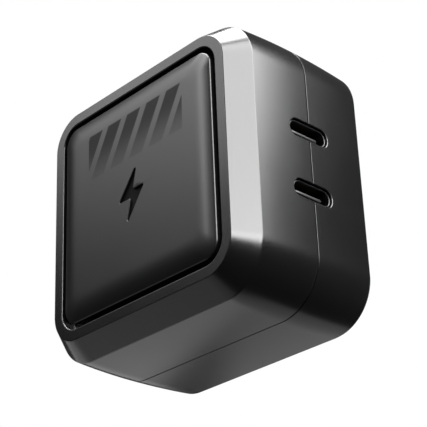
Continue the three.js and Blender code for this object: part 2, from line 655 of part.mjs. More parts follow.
// Common-mode choke: a ring core lying flat, with a winding around each side of it.
const chokeRing = (grow) => {
  const profile = [[-1, -1], [1, -1], [1, 1], [-1, 1], [-1, -1]].map(
    ([r, y]) =>
      new THREE.Vector2((r < 0 ? choke.inner : choke.outer) + r * grow, y * (choke.t / 2 + grow)),
  );
  return new THREE.LatheGeometry(profile, ROUND_STEPS).translate(choke.x, choke.y, choke.z);
};
add("choke_core", solid(chokeRing(0)), MATERIAL.ferrite);
[["choke_winding_live", 0], ["choke_winding_neutral", Math.PI]].forEach(([name, turn]) => {
  const reach = 2 * (choke.outer + CHOKE_WIRE);
  const wedge = [[0, 0], ...[-1, -0.5, 0, 0.5, 1].map((k) => [
    reach * Math.cos(turn + (k * CHOKE_ARC) / 2),
    reach * Math.sin(turn + (k * CHOKE_ARC) / 2),
  ])];
  const sector = solid(prismY(shift(wedge, choke.x, choke.z), choke.y - choke.t, choke.y + choke.t));
  add(name, cut(solid(chokeRing(CHOKE_WIRE)).intersect(sector), chokeRing(SEAT)), MATERIAL.copper);
});

// Smaller parts.
const fuseX = midX - core.w / 4;
add("fuse", slab(FUSE.w, FUSE.t, fuseX, stripLow + FUSE.t / 2, yStand, FUSE.h), MATERIAL.fuse);
const inputX = (share) => bulk.x + bulk.r + share * stripW;
const inputPart = (w, share, h) => slab(w * stripW, inputRow.t, inputX(share), inputRow.z, yStand, h);
add("film_capacitor", inputPart(SHARE.filmCap, SHARE.filmCap / 2, inputRow.h), MATERIAL.filmCap);
const discR = Math.min(inputRow.t, inputRow.h) / 2;
const disc = rod("x", discR, inputX(0.48), inputX(0.48 + SHARE.disc), yStand + discR, inputRow.z);
add("disc_capacitor", disc, MATERIAL.discCap);
add("bridge_rectifier", inputPart(SHARE.bridge, 0.8, 2 * CHIP_T), MATERIAL.chip);
const outCapX = (choke.x + choke.outer + CHOKE_WIRE + xOutChip) / 2;
const outCapR = (chokeHalf - APART) / 2;
["output_capacitor_1", "output_capacitor_2"].forEach((name, i) => {
  const z = choke.z + (i - 0.5) * (2 * outCapR + APART);
  add(name, rod("y", outCapR, yStand, yStand + inputRow.h, outCapX, z), MATERIAL.can);
});

export default charger;
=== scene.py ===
"""Looks of a folding-plug USB-C wall charger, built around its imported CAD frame.

Lengths are in metres in the CAD's frame: the ports are in the +X side, +Y points at the wall and Z is up.
Every new piece is a grid of points worked out with numpy: rings of columns around an outline, one ring for
each point of a profile. Openings are cut by pieces made in the same way, whose mouths widen in a small arc.
"""

from math import cos, pi, radians, sin

import bmesh
import bpy
import numpy as np
from mathutils import Matrix, Quaternion, Vector


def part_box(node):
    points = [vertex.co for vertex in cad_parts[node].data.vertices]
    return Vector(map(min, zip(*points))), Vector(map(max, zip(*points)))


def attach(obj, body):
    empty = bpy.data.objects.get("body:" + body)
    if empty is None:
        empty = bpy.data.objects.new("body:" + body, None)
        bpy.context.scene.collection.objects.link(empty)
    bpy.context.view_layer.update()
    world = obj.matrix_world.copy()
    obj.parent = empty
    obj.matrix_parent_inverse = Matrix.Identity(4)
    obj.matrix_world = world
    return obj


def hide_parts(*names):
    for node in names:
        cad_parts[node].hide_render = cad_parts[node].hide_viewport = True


bl_info = {
    "name": "Folding-plug wall charger",
    "version": (1, 0, 0),
    "blender": (4, 5, 0),
    "location": "View3D > Sidebar > Charger",
    "description": "Builds the surfaces, finishes and studio of a USB-C wall charger around its frame",
    "category": "Object",
}

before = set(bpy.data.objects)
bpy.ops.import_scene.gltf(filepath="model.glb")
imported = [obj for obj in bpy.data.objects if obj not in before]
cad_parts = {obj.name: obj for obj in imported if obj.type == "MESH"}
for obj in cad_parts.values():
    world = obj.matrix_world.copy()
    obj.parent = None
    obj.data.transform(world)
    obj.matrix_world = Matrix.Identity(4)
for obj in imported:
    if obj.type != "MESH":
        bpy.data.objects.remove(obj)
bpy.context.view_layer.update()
MM = 0.001
X, Y, Z = 0, 1, 2
HIDDEN_EDGE = 0.05 * MM  # rounding of edges inside the charger
CLOSING_HALF, CLOSING_CORNER = MM, 0.2 * MM  # the small ring that closes a moulding in its middle
ARC_SHARE = 0.45  # a rounding takes up this share of a side at the most
HOLD, HOLD_SHARE = 1.1, 0.48  # the point past an arc, as a share of the arc's reach and of the side


def low(node):
    """Lowest corner of a CAD node."""
    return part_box(node)[0]


def high(node):
    """Highest corner of a CAD node."""
    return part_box(node)[1]


def middle(node):
    """Middle of a CAD node's box."""
    return (low(node) + high(node)) / 2


# ---------------------------------------------------------------- sizes and colours to change


def size(name, description, millimetres):
    """A length property whose default is given in millimetres."""
    return bpy.props.FloatProperty(
        name=name,
        description=description,
        default=millimetres * MM,
        min=0.0,
        precision=5,
        unit="LENGTH",
        subtype="DISTANCE",
    )


def share(name, description, default):
    """A property between nothing and one."""
    return bpy.props.FloatProperty(
        name=name, description=description, default=default, min=0.0, max=1.0, subtype="FACTOR"
    )


def turn(name, description, degrees):
    """An angle property whose default is given in degrees."""
    return bpy.props.FloatProperty(
        name=name, description=description, default=radians(degrees), unit="ROTATION", subtype="ANGLE"
    )


def colour(name, description, *rgb):
    """A colour property, linear."""
    return bpy.props.FloatVectorProperty(
        name=name, description=description, default=rgb, size=3, min=0.0, max=1.0, subtype="COLOR"
    )


class CasingSettings(bpy.types.PropertyGroup):
    corner: size("Corner radius", "Corner radius of the casing at the seam", 9.1)
    front_draft: size("Front draft", "How much narrower each side is at the bevel", 0.53)
    rear_draft: size("Rear draft", "How much narrower each side is at the wall face", 0.5)
    bevel_width: size("Bevel width", "Bevel measured across the front", 2.95)
    bevel_depth: size("Bevel depth", "Bevel measured along the depth", 4.05)
    bevel_edge: size("Bevel edge", "Rounding between the bevel and the sides", 0.5)
    rim_corner: size("Rim corner", "Corner radius of the flat rim, outside", 6.15)
    rim_width: size("Rim width", "Flat rim around the panel", 2.1)
    rim_edge: size("Rim edge", "Rounding of the rim's edges", 0.22)
    rear_edge: size("Rear edge", "Rounding of the edge of the wall face", 1.15)
    seam_gap: size("Seam gap", "Open line between the two housings", 0.2)
    seam_edge: size("Seam edge", "Rounding along the seam", 0.07)
    wall: size("Wall", "Thickness of the side walls", 2.0)
    rear_wall: size("Rear wall", "Thickness of the wall face", 2.2)
    front_web: size("Front web", "Wall behind the panel's pocket", 1.4)
    pocket_depth: size("Pocket depth", "Depth of the panel's pocket", 2.4)
    lip_skin: size("Lip skin", "Front wall that covers the rear housing's lip", 0.9)
    lip_height: size("Lip height", "How far the lip reaches into the front housing", 1.2)
    post: size("Post", "Radius of the four posts that hold the main board", 1.5)
    post_inset: size("Post inset", "Post centre to the outside of the casing", 6.7)


class PanelSettings(bpy.types.PropertyGroup):
    groove: size("Groove", "Open line between the rim and the panel", 1.0)
    shoulder: size("Shoulder", "Width of the curved shoulder around the panel", 5.0)
    edge: size("Panel edge", "Rounding of the panel's edge", 0.45)
    mark_height: size("Mark height", "Height of the sunk mark", 11.2)
    mark_depth: size("Mark depth", "How deep the mark is sunk", 0.4)


class PortSettings(bpy.types.PropertyGroup):
    clearance: size("Clearance", "Casing to receptacle shell", 0.13)
    mouth: size("Mouth edge", "Rounding of the casing around a port", 0.15)
    shell_wall: size("Shell wall", "Sheet metal of a receptacle's shell", 0.3)
    tongue_width: size("Tongue width", "Width of a receptacle's tongue", 6.69)
    tongue_thickness: size("Tongue thickness", "Thickness of a receptacle's tongue", 0.7)
    tongue_base: size("Tongue base", "Length of the moulding behind a tongue", 3.0)


class PlugSettings(bpy.types.PropertyGroup):
    blade_width: size("Blade width", "Width of a blade", 6.35)
    blade_tip: size("Blade tip", "Bevel at the tip of a blade", 1.6)
    blade_edge: size("Blade edge", "Rounding of a blade's edges", 0.2)
    hole: size("Hole", "Radius of the hole in a blade", 1.5)
    hole_height: size("Hole height", "Tip of a blade to the centre of its hole", 4.2)
    tail_width: size("Tail width", "Width of a blade's tail", 4.0)
    carrier_corner: size("Carrier corner", "Radius of the carrier's rounded corners", 4.0)
    carrier_edge: size("Carrier edge", "Rounding of the carrier's ends", 0.3)
    trunnion: size("Trunnion", "Radius of the carrier's trunnions", 1.5)
    trunnion_length: size("Trunnion length", "Length of each trunnion", 1.2)
    sweep: size("Sweep", "Clearance around what turns", 0.4)
    bearing_play: size("Bearing play", "Trunnion to its bearing", 0.15)
    cradle_wall: size("Cradle wall", "Walls around the folded plug", 1.4)
    cover: size("Cover", "Thickness of the cradle's cover", 1.2)
    boss: size("Boss", "Radius of the bosses for the cover's screws", 1.9)
    screw_hole: size("Screw hole", "Radius of the holes for the cover's screws", 0.95)
    screw_depth: size("Screw depth", "Depth of those holes below the cover", 5.0)
    scoop_radius: size("Scoop radius", "Radius of the finger hollow", 7.0)
    scoop_depth: size("Scoop depth", "Depth of the finger hollow", 5.0)
    scoop_width: size("Scoop width", "Width of the finger hollow", 19.0)
    scoop_height: size("Scoop height", "Blade tips to the middle of the finger hollow", 4.5)
    bay_edge: size("Bay edge", "Rounding of the openings in the wall face", 0.3)


class FinishSettings(bpy.types.PropertyGroup):
    casing: colour("Casing", "Colour of the casing's plastic", 0.0022, 0.0022, 0.0023)
    casing_roughness: share("Casing roughness", "Roughness of the casing", 0.23)
    wall_face: colour("Wall face", "Colour of the coarser face that meets the wall", 0.009, 0.009, 0.0092)
    panel: colour("Panel", "Colour of the panel's plastic", 0.0028, 0.0028, 0.0029)
    panel_roughness: share("Panel roughness", "Roughness of the panel", 0.29)
    plating: colour("Plating", "Colour of the blades' nickel", 0.66, 0.63, 0.57)
    steel: colour("Steel", "Colour of the receptacle shells", 0.045, 0.045, 0.047)


class StageSettings(bpy.types.PropertyGroup):
    floor_drop: size("Floor drop", "Height of the charger above the floor", 260.0)
    azimuth: turn("Azimuth", "Camera's turn around the charger, from the front towards the ports", 45.69)
    elevation: turn("Elevation", "Camera's height above the horizon; negative looks up", -26.785)
    roll: turn("Roll", "Camera's roll", -2.336)
    lens: bpy.props.FloatProperty(
        name="Lens", description="Focal length in millimetres", default=119.69, min=10.0
    )
    place: bpy.props.FloatVectorProperty(
        name="Place",
        description="Camera's place",
        default=(0.16378, -0.15612, -0.08829),
        size=3,
        unit="LENGTH",
        subtype="XYZ",
    )


def settings(name):
    """The scene's property group of that name."""
    return getattr(bpy.context.scene, "charger_" + name)


# ---------------------------------------------------------------- outlines and profiles


def directions(angle):
    """Unit directions in a plane, one for each angle."""
    return np.column_stack([np.cos(angle), np.sin(angle)])


def corner_columns(steps=28, straight=(0.006, 0.05, 0.5, 0.95, 0.994)):
    """Columns around a rounded rectangle, as four factors (a, b, c, s) each.

    A column stands at (a * (w - r) + c * r, b * (h - r) + s * r) for half sizes w, h and corner radius r.
    (a, b) is the centre of its corner, moved along the side on a straight, and (c, s) is the way out there.
    """
    angle = np.linspace(0.0, np.pi / 2, steps + 1)
    along = np.array(straight, float)[:, None]
    corners = np.array([[1, 1], [-1, 1], [-1, -1], [1, -1]], float)
    parts = []
    for k in range(4):
        here, after = corners[k], corners[(k + 1) % 4]
        out = directions(angle + k * np.pi / 2)
        parts.append(np.column_stack([np.tile(here, (len(angle), 1)), out]))
        parts.append(np.column_stack([here + along * (after - here), np.tile(out[-1], (len(along), 1))]))
    return np.concatenate(parts)


CASING_COLUMNS = corner_columns()


def rectangle_rings(half_w, half_h, radius, depth, columns=CASING_COLUMNS):
    """Rounded-rectangle rings across Y, one for each entry of the four arrays, around the casing's axis."""
    a, b, c, s = columns.T
    w, h, r, d = (np.asarray(v, float)[:, None] for v in (half_w, half_h, radius, depth))
    r = np.minimum(r, np.minimum(w, h))
    z = b * (h - r) + s * r + middle("front_housing").z
    return np.stack([a * (w - r) + c * r, d + 0 * a, z], axis=-1)


def rounded_rectangle(half_a, half_b, radius, centre=(0, 0), steps=8, straight=(0.5,)):
    """Outline of a rounded rectangle, anticlockwise, around a centre."""
    a, b, c, s = corner_columns(steps, straight).T
    outline = np.column_stack([a * (half_a - radius), b * (half_b - radius)])
    return outline + radius * np.column_stack([c, s]) + np.array(centre)


def circle(radius, centre, steps=40):
    """Outline of a circle, anticlockwise."""
    angle = np.arange(steps) / steps * 2 * np.pi
    return np.array(centre) + radius * directions(angle)


def soften(corners, steps=5):
    """Profile through corners (u, v, radius of the ring, rounding), with an arc at each rounded corner.

    The arc touches both sides at rounding / tan(half the angle between them) from the corner. A point just
    past each end of the arc keeps the sides straight in the shading. The third value changes evenly along it.
    """
    p = np.array(corners, float)
    rows = [p[:1, :3]]
    for i in range(1, len(p) - 1):
        here, r = p[i, :3], p[i, 3]
        if r <= 0:
            rows.append(here[None])
            continue
        back, on = p[i - 1, :3] - here, p[i + 1, :3] - here
        lb, lo = np.hypot(*back[:2]), np.hypot(*on[:2])
        half = np.arccos(np.clip(back[:2] @ on[:2] / (lb * lo), -1, 1)) / 2
        t = min(r / np.tan(half), ARC_SHARE * lb, ARC_SHARE * lo)
        r = t * np.tan(half)
        first, last = here + back / lb * t, here + on / lo * t
        centre = here[:2] + (back[:2] / lb + on[:2] / lo) / (2 * np.cos(half)) * (r / np.sin(half))
        a0, a1 = (np.arctan2(e[1] - centre[1], e[0] - centre[0]) for e in (first, last))
        part = np.linspace(0, 1, steps + 1)
        angle = a0 + ((a1 - a0 + np.pi) % (2 * np.pi) - np.pi) * part
        arc = centre + r * directions(angle)
        rows.append((here + back / lb * min(HOLD * t, HOLD_SHARE * lb))[None])
        rows.append(np.column_stack([arc, first[2] + (last[2] - first[2]) * part]))
        rows.append((here + on / lo * min(HOLD * t, HOLD_SHARE * lo))[None])
    rows.append(p[-1:, :3])
    return np.concatenate(rows)


def soften_outline(corners, radius, steps=4):
    """A closed outline with every corner rounded: soften, begun and ended in the middle of a side."""
    p = np.array(corners, float)
    start = (p[0] + p[-1]) / 2
    rows = [[*start, 0, 0]] + [[*c, 0, radius] for c in p] + [[*start, 0, 0]]
    return soften(rows, steps)[:-1, :2]


def straight_ends(start, end):
    """Profile of a bar with square ends, as rows of (outward offset, place along)."""
    return np.array([[0.0, start], [0.0, end]])


def rounded_ends(start, end, edge, steps=4):
    """Profile of a bar whose ends are rounded: quarter circles from inside the outline to its full size."""
    angle = np.linspace(0, np.pi / 2, steps + 1)
    inset, along = edge * (np.sin(angle) - 1), edge * (1 - np.cos(angle))
    first = np.column_stack([inset, start + along])
    last = np.column_stack([inset, end - along])[::-1]
    return np.concatenate([first, [[0, start + HOLD * edge], [0, end - HOLD * edge]], last])


def flared_mouth(floor, face, flare, past=MM, steps=5):
    """Profile of a cutter that rounds its edge: straight to the face, then out in a quarter circle."""
    side = 1 if face > floor else -1
    angle = np.linspace(0, np.pi / 2, steps + 1)
    arc = np.column_stack([flare * (1 - np.cos(angle)), face - side * flare * (1 - np.sin(angle))])
    return np.concatenate([[[0, floor]], arc, [[flare, face + side * past]]])


def carried(outline, profile, axis):
    """Rings of an outline carried along an axis, moved outwards by the profile's offset at each place.

    A point moves along the sum of its two sides' normals, divided by one plus their product, so that both
    sides move by the offset.
    """
    side = np.roll(outline, -1, 0) - outline
    normal = np.column_stack([side[:, 1], -side[:, 0]]) / np.hypot(*side.T)[:, None]
    before = np.roll(normal, 1, 0)
    out = (before + normal) / (1 + (before * normal).sum(1))[:, None]
    flat = outline + profile[:, :1, None] * out
    points = np.empty((len(profile), len(outline), 3))
    points[..., [i for i in (X, Y, Z) if i != axis]] = flat
    points[..., axis] = profile[:, 1:2]
    return points


def turned(profile, axis, centre, steps=64):
    """Rings around an axis: circles with the profile's (radius, place along), as a lathe makes them."""
    radius, place = np.asarray(profile, float)[:, :2].T
    angle = np.arange(steps) / steps * 2 * np.pi
    points = np.empty((len(radius), steps, 3))
    points[..., axis] = place[:, None]
    first, second = [i for i in (X, Y, Z) if i != axis]
    points[..., first] = centre[0] + radius[:, None] * np.cos(angle)
    points[..., second] = centre[1] + radius[:, None] * np.sin(angle)
    return points


# ---------------------------------------------------------------- meshes


def placed(name, data):
    """An object that holds the data, in the scene."""
    made = bpy.data.objects.new(name, data)
    bpy.context.scene.collection.objects.link(made)
    return made


def from_points(name, points, faces):
    """An object with a mesh of points and faces."""
    mesh = bpy.data.meshes.new(name)
    mesh.from_pydata(points.tolist(), [], faces)
    return placed(name, mesh)


def skin(name, points, loop=False):
    """A closed mesh over rings of points: (rings, columns, 3).

    Each ring closes on itself. With loop the last ring joins the first; otherwise a point in the middle of
    each end ring closes it. The faces are turned so that the volume that they enclose is positive.
    """
    rings, count = points.shape[:2]
    verts = points.reshape(-1, 3)
    ring = np.arange(rings if loop else rings - 1)[:, None] * count
    after = (ring + count) % (rings * count)
    col = np.arange(count)
    nxt = (col + 1) % count
    quads = np.stack([ring + col, ring + nxt, after + nxt, after + col], axis=-1).reshape(-1, 4)
    tris = np.empty((0, 3), int)
    if not loop:
        verts = np.concatenate([verts, points[0].mean(0)[None], points[-1].mean(0)[None]])
        first, last = np.full(count, rings * count), np.full(count, rings * count + 1)
        end = (rings - 1) * count
        caps = (first, nxt, col), (last, end + col, end + nxt)
        tris = np.concatenate([np.column_stack(cap) for cap in caps])
    corners = verts[np.concatenate([quads[:, [0, 1, 2]], quads[:, [0, 2, 3]], tris])] - verts.mean(0)
    if np.einsum("ij,ij->", corners[:, 0], np.cross(corners[:, 1], corners[:, 2])) < 0:
        quads, tris = quads[:, ::-1], tris[:, ::-1]
    return from_points(name, verts, quads.tolist() + tris.tolist())


def block(x, y, z, corner=HIDDEN_EDGE):
    """A box between two places on each axis, for joining to a moulding."""
    outline = rounded_rectangle(
        (x[1] - x[0]) / 2, (z[1] - z[0]) / 2, corner, ((x[0] + x[1]) / 2, (z[0] + z[1]) / 2), 2
    )
    return skin("tool", carried(outline, straight_ends(*y), Y))


def combine(piece, tools, operation="DIFFERENCE"):
    """Cuts the tools away from the piece, or joins them to it, one after the other, and removes them."""
    for tool in tools:
        step = piece.modifiers.new("combine", "BOOLEAN")
        step.operation, step.solver, step.object = operation, "MANIFOLD", tool
        bpy.context.view_layer.update()
        made = bpy.data.meshes.new_from_object(piece.evaluated_get(bpy.context.evaluated_depsgraph_get()))
        piece.modifiers.clear()
        spare, piece.data = piece.data, made
        bpy.data.meshes.remove(spare)
        bpy.data.meshes.remove(tool.data)
        if not len(made.polygons):
            raise RuntimeError(f"{piece.name} came out empty")


def tidy_cuts(mesh):
    """Splits the many-sided faces that the cuts leave, and takes out slivers without an area."""
    cut = bmesh.new()
    cut.from_mesh(mesh)
    bmesh.ops.triangulate(cut, faces=[face for face in cut.faces if len(face.verts) > 4])
    bmesh.ops.dissolve_degenerate(cut, edges=cut.edges, dist=0.0001 * MM)
    cut.to_mesh(mesh)
    cut.free()


def finish_piece(piece, body, node, slot, finish=None, sharp=30):
    """Smooth shading with sharp folds, the slot's own finish or another, and the piece's place on a body.

    Normals are weighted by the faces' areas, so that flat faces stay flat up to a small rounding.
    """
    piece.data.name = piece.name
    tidy_cuts(piece.data)
    piece.data.shade_smooth()
    piece.data.set_sharp_from_angle(angle=radians(sharp))
    level = piece.modifiers.new("flat faces", "WEIGHTED_NORMAL")
    level.keep_sharp, level.weight = True, 100
    piece.data.materials.clear()
    piece.data.materials.append(FINISHES[finish or slot])
    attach(piece, body)
    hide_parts(node)


# ---------------------------------------------------------------- casing


def port_outline(which, grow):
    """Outline in Y and Z of a receptacle, moved outwards: a slot with nearly round ends."""
    node = "usb_shell_" + which
    half = (high(node) - low(node)) / 2
    centre = middle(node)
    return rounded_rectangle(
        half.y + grow, half.z + grow, 0.98 * (half.z + grow), (centre.y, centre.z), 12, (0.1, 0.9)
    )


def crowned_side(y_seam, y_end, draft, steps=12):
    """Rows of a side from its end to the seam: it narrows with the square of the distance from the seam."""
    corner = settings("casing").corner
    part = np.linspace(1, 0, steps + 1)[1:-1, None]
    inset = draft * part**2
    return np.hstack([inset, y_seam + (y_end - y_seam) * part, corner - inset, 0 * part]).tolist()


def port_cutters(draft_front, draft_rear):
    """Cutters for both ports. Their mouths follow the side, which narrows with the square of the distance."""
    c, p = settings("casing"), settings("ports")
    side, y_seam = high("front_housing").x, middle("usb_shell_upper").y
    front = low("front_housing").y + c.bevel_depth - y_seam
    rear = high("rear_housing").y - y_seam
    tools = []
    for which in ("upper", "lower"):
        profile = flared_mouth(side - c.wall - MM, side, p.mouth)
        points = carried(port_outline(which, p.clearance), profile, X)
        away = points[..., Y] - y_seam
        ahead, behind = draft_front * (away / front) ** 2, draft_rear * (away / rear) ** 2
        points[..., X] -= np.where(away < 0, ahead, behind)
        tools.append(skin("port_cutter", points))
    return tools


def post_tools(y0, y1):
    """The four round posts behind the corners, from one depth to another."""
    c = settings("casing")
    centre, reach = middle("front_housing"), high("front_housing").x - c.post_inset
    corners = [(sx * reach, centre.z + sz * reach) for sx in (-1, 1) for sz in (-1, 1)]
    return [skin("post", carried(circle(c.post, corner, 24), straight_ends(y0, y1), Y)) for corner in corners]


class CHARGER_OT_front_housing(bpy.types.Operator):
    """Front housing: rounded squares along a profile of pocket, rim, bevel, side, rebate and cavity"""

    bl_idname = "charger.front_housing"
    bl_label = "Front housing"

    def execute(self, context):
        c = settings("casing")
        half, y_rim, y_split = high("front_housing").x, low("front_housing").y, high("front_housing").y
        rim = c.front_draft + c.bevel_width
        pocket = rim + c.rim_width
        y_floor = y_rim + c.pocket_depth
        y_cavity = y_floor + c.front_web
        y_rebate = y_split - c.lip_height - c.seam_gap
        inner = c.corner - c.wall
        profile = soften(
            [
                (half - CLOSING_HALF, y_floor, CLOSING_CORNER, 0),
                (pocket, y_floor, c.rim_corner - c.rim_width, 0.15 * MM),
                (pocket, y_rim, c.rim_corner - c.rim_width, c.rim_edge),
                (rim, y_rim, c.rim_corner, c.rim_edge),
                (c.front_draft, y_rim + c.bevel_depth, c.corner - c.front_draft, c.bevel_edge),
                *crowned_side(y_split, y_rim + c.bevel_depth, c.front_draft),
                (0, y_split, c.corner, c.seam_edge),
                (c.lip_skin, y_split, c.corner - c.lip_skin, HIDDEN_EDGE),
                (c.lip_skin, y_rebate, c.corner - c.lip_skin, HIDDEN_EDGE),
                (c.wall, y_rebate, inner, HIDDEN_EDGE),
                (c.wall + c.front_draft, y_cavity, inner - c.front_draft, 0.3 * MM),
                (half - CLOSING_HALF, y_cavity, CLOSING_CORNER, 0),
            ]
        )
        inset, depth, corner = profile.T
        piece = skin("casing_front", rectangle_rings(half - inset, half - inset, corner, depth))
        y_board = low("main_board").y - 0.05 * MM
        combine(piece, post_tools(y_cavity - c.front_web / 2, y_board), "UNION")
        combine(piece, port_cutters(c.front_draft, c.rear_draft))
        finish_piece(piece, "charger", "front_housing", "casing")
        return {"FINISHED"}


def scoop_cutter(y_face, z_scoop, flare):
    """Cutter for the finger hollow: rounded rectangles whose height follows a circle, and whose mouth widens.

    At an angle t up from the floor the half height is the radius times the sine of t and the depth is the
    centre less the radius times its cosine. The last steps add a quarter circle outwards on all sides.
    """
    p = settings("plug")
    y_centre = y_face - p.scoop_depth + p.scoop_radius
    rise = np.arccos((y_centre - y_face + flare) / p.scoop_radius)
    t = np.linspace(0.02, rise, 22)
    half_h, depth = p.scoop_radius * np.sin(t), y_centre - p.scoop_radius * np.cos(t)
    angle = np.linspace(0, np.pi / 2, 6)[1:]
    out = flare * (1 - np.cos(angle))
    slope = 0.6
    lean = slope * flare * angle / angle[-1]
    half_w = p.scoop_width / 2 + np.concatenate([np.zeros(len(t)), out, [flare]])
    half_h = np.concatenate([half_h, half_h[-1] + lean + out, [half_h[-1] + (1 + slope) * flare]])
    depth = np.concatenate([depth, y_face - flare + flare * np.sin(angle), [y_face + MM]])
    corner = np.minimum(0.8 * MM, 0.95 * half_h)
    points = rectangle_rings(half_w, half_h, corner, depth, corner_columns(8, (0.05, 0.5, 0.95)))
    points[..., Z] += z_scoop - middle("front_housing").z
    return skin("scoop_cutter", points)


class CHARGER_OT_rear_housing(bpy.types.Operator):
    """Rear housing: a shell of rounded squares with a lip, the plug's cradle inside, and openings cut"""

    bl_idname = "charger.rear_housing"
    bl_label = "Rear housing"

    def execute(self, context):
        c, p = settings("casing"), settings("plug")
        half = high("front_housing").x
        y_lip, y_wall = high("front_housing").y - c.lip_height, high("rear_housing").y
        y_split = high("front_housing").y + c.seam_gap
        y_cavity = y_wall - c.rear_wall
        lip = c.lip_skin + 0.2 * MM
        inner = c.corner - c.wall
        profile = soften(
            [
                (half - CLOSING_HALF, y_wall, CLOSING_CORNER, 0),
                (c.rear_draft, y_wall, c.corner - c.rear_draft, c.rear_edge),
                *crowned_side(y_split, y_wall, c.rear_draft),
                (0, y_split, c.corner, c.seam_edge),
                (lip, y_split, c.corner - lip, HIDDEN_EDGE),
                (lip, y_lip, c.corner - lip, 0.1 * MM),
                (c.wall, y_lip, inner, 0.1 * MM),
                (c.wall + c.rear_draft, y_cavity, inner - c.rear_draft, 0.3 * MM),
                (half - CLOSING_HALF, y_cavity, CLOSING_CORNER, 0),
            ],
            9,
        )
        inset, depth, corner = profile.T
        piece = skin("casing_back", rectangle_rings(half - inset, half - inset, corner, depth))

        hinge, carrier = middle("plug_carrier"), high("plug_carrier")
        blades = [middle("blade_left").x, middle("blade_right").x]
        blade = (high("blade_left").x - low("blade_left").x) / 2
        tip = low("blade_left").z
        chamber = carrier.x - p.trunnion_length + p.sweep
        chamber_low = hinge.z - p.carrier_corner - p.sweep
        chamber_high = high("blade_left").z + p.sweep
        y_cover = low("cradle_cover").y + p.cover
        y_slot = hinge.y - p.blade_width / 2 - p.sweep
        slot, slot_low = blade + p.sweep, tip - 2 * p.sweep
        y_in = y_cavity + c.rear_wall / 2
        foot, wall = y_cover + 0.05 * MM, p.cradle_wall
        z_screw = middle("cradle_screw_left").z
        z_scoop = tip + p.scoop_height
        y_scoop = y_wall - p.scoop_depth
        scoop_half = (p.scoop_radius**2 - (p.scoop_radius - p.scoop_depth) ** 2) ** 0.5 + wall
        side, cradle = p.scoop_width / 2 + wall, chamber + wall
        walls = [
            block((-cradle, cradle), (foot, y_in), (chamber_low - wall, chamber_high + wall)),
            block((-side, side), (y_scoop - wall, y_in), (z_scoop - scoop_half, z_scoop + scoop_half)),
        ]
        for x in blades:
            across = (x - slot - wall, x + slot + wall)
            walls.append(block(across, (y_slot - wall, y_in), (slot_low - wall, chamber_low)))
            walls.append(skin("boss", carried(circle(p.boss, (x, z_screw)), straight_ends(foot, y_in), Y)))
        combine(piece, walls + post_tools(high("main_board").y + 0.2 * MM, y_in), "UNION")

        half_turn = directions(np.linspace(-pi / 2, pi / 2, 17))
        bearing = np.array([hinge.y, hinge.z]) + (p.trunnion + p.bearing_play) * half_turn
        bearing = np.concatenate([bearing, [[y_cover - MM, bearing[-1, 1]], [y_cover - MM, bearing[0, 1]]]])
        window_high = hinge.z + p.carrier_corner + p.sweep
        window = rounded_rectangle(
            chamber, (window_high - chamber_low) / 2, 0.5 * MM, (0, (window_high + chamber_low) / 2)
        )
        y_roof = hinge.y + p.tail_width / 2 + p.sweep
        cuts = [
            block((-chamber, chamber), (y_cover - MM, y_roof), (chamber_low, chamber_high), 0.3 * MM),
            skin("window", carried(window, flared_mouth(hinge.y, y_wall, p.bay_edge), Y)),
            skin("bearing", carried(bearing, straight_ends(0.2 * MM - cradle, cradle - 0.2 * MM), X)),
            scoop_cutter(y_wall, z_scoop, p.bay_edge),
        ]
        for x in blades:
            outline = rounded_rectangle(
                slot, (hinge.z - slot_low) / 2, 0.35 * MM, (x, (hinge.z + slot_low) / 2)
            )
            cuts.append(skin("slot", carried(outline, flared_mouth(y_slot, y_wall, p.bay_edge), Y)))
            pilot = straight_ends(y_cover - MM, y_cover + p.screw_depth)
            cuts.append(skin("hole", carried(circle(p.screw_hole, (x, z_screw), 24), pilot, Y)))
        combine(piece, cuts + port_cutters(c.front_draft, c.rear_draft))
        finish_piece(piece, "charger", "rear_housing", "casing")
        return {"FINISHED"}


class CHARGER_OT_panel(bpy.types.Operator):
    """Front panel: flat middle, a shoulder that rises as one less the cube of the way in, and a sunk mark"""

    bl_idname = "charger.panel"
    bl_label = "Front panel"

    def execute(self, context):
        c, s = settings("casing"), settings("panel")
        y_rim, y_top, y_back = low("front_housing").y, low("front_panel").y, high("front_panel").y
        half = high("front_panel").x
        corner = c.rim_corner - c.rim_width - s.groove
        inward = np.linspace(1, 0, 26) ** 1.3
        depth = y_rim - (y_rim - y_top) * (1 - (1 - inward) ** 3)
        rows = np.column_stack([half - s.shoulder * inward, depth, corner * (1 - inward / 2)])
        edge = soften(
            [
                (*rows[-5, :2], rows[-5, 2], 0),
                (half, y_rim, corner, s.edge),
                (half, y_back, corner, 0.1 * MM),
                (half - 2 * MM, y_back, corner - 1.5 * MM, 0),
            ],
            7,
        )
        keep = rows[rows[:, 0] < edge[1, 0] - 0.02 * MM]
        centre = [[CLOSING_HALF, y_top, CLOSING_CORNER], [half - s.shoulder - MM, y_top, corner / 2]]
        back = [[CLOSING_HALF, y_back, CLOSING_CORNER]]
        width, depth, corner = np.concatenate([centre, keep, edge[1:], back]).T
        piece = skin("panel_face", rectangle_rings(width, width, corner, depth))
        left = [(0.13, 0.5), (-0.30, -0.05), (-0.02, -0.05)]
        bolt = np.array(left + [(-0.13, -0.5), (0.30, 0.09), (0.03, 0.09)])
        z_mid = middle("front_panel").z
        outline = soften_outline(bolt * s.mark_height + [-0.4 * MM, z_mid - 1.1 * MM], 0.25 * MM)
        mouth = flared_mouth(y_top + s.mark_depth, y_top, 0.1 * MM)
        combine(piece, [skin("mark", carried(outline, mouth, Y))])
        finish_piece(piece, "charger", "front_panel", "panel")
        return {"FINISHED"}


# ---------------------------------------------------------------- ports


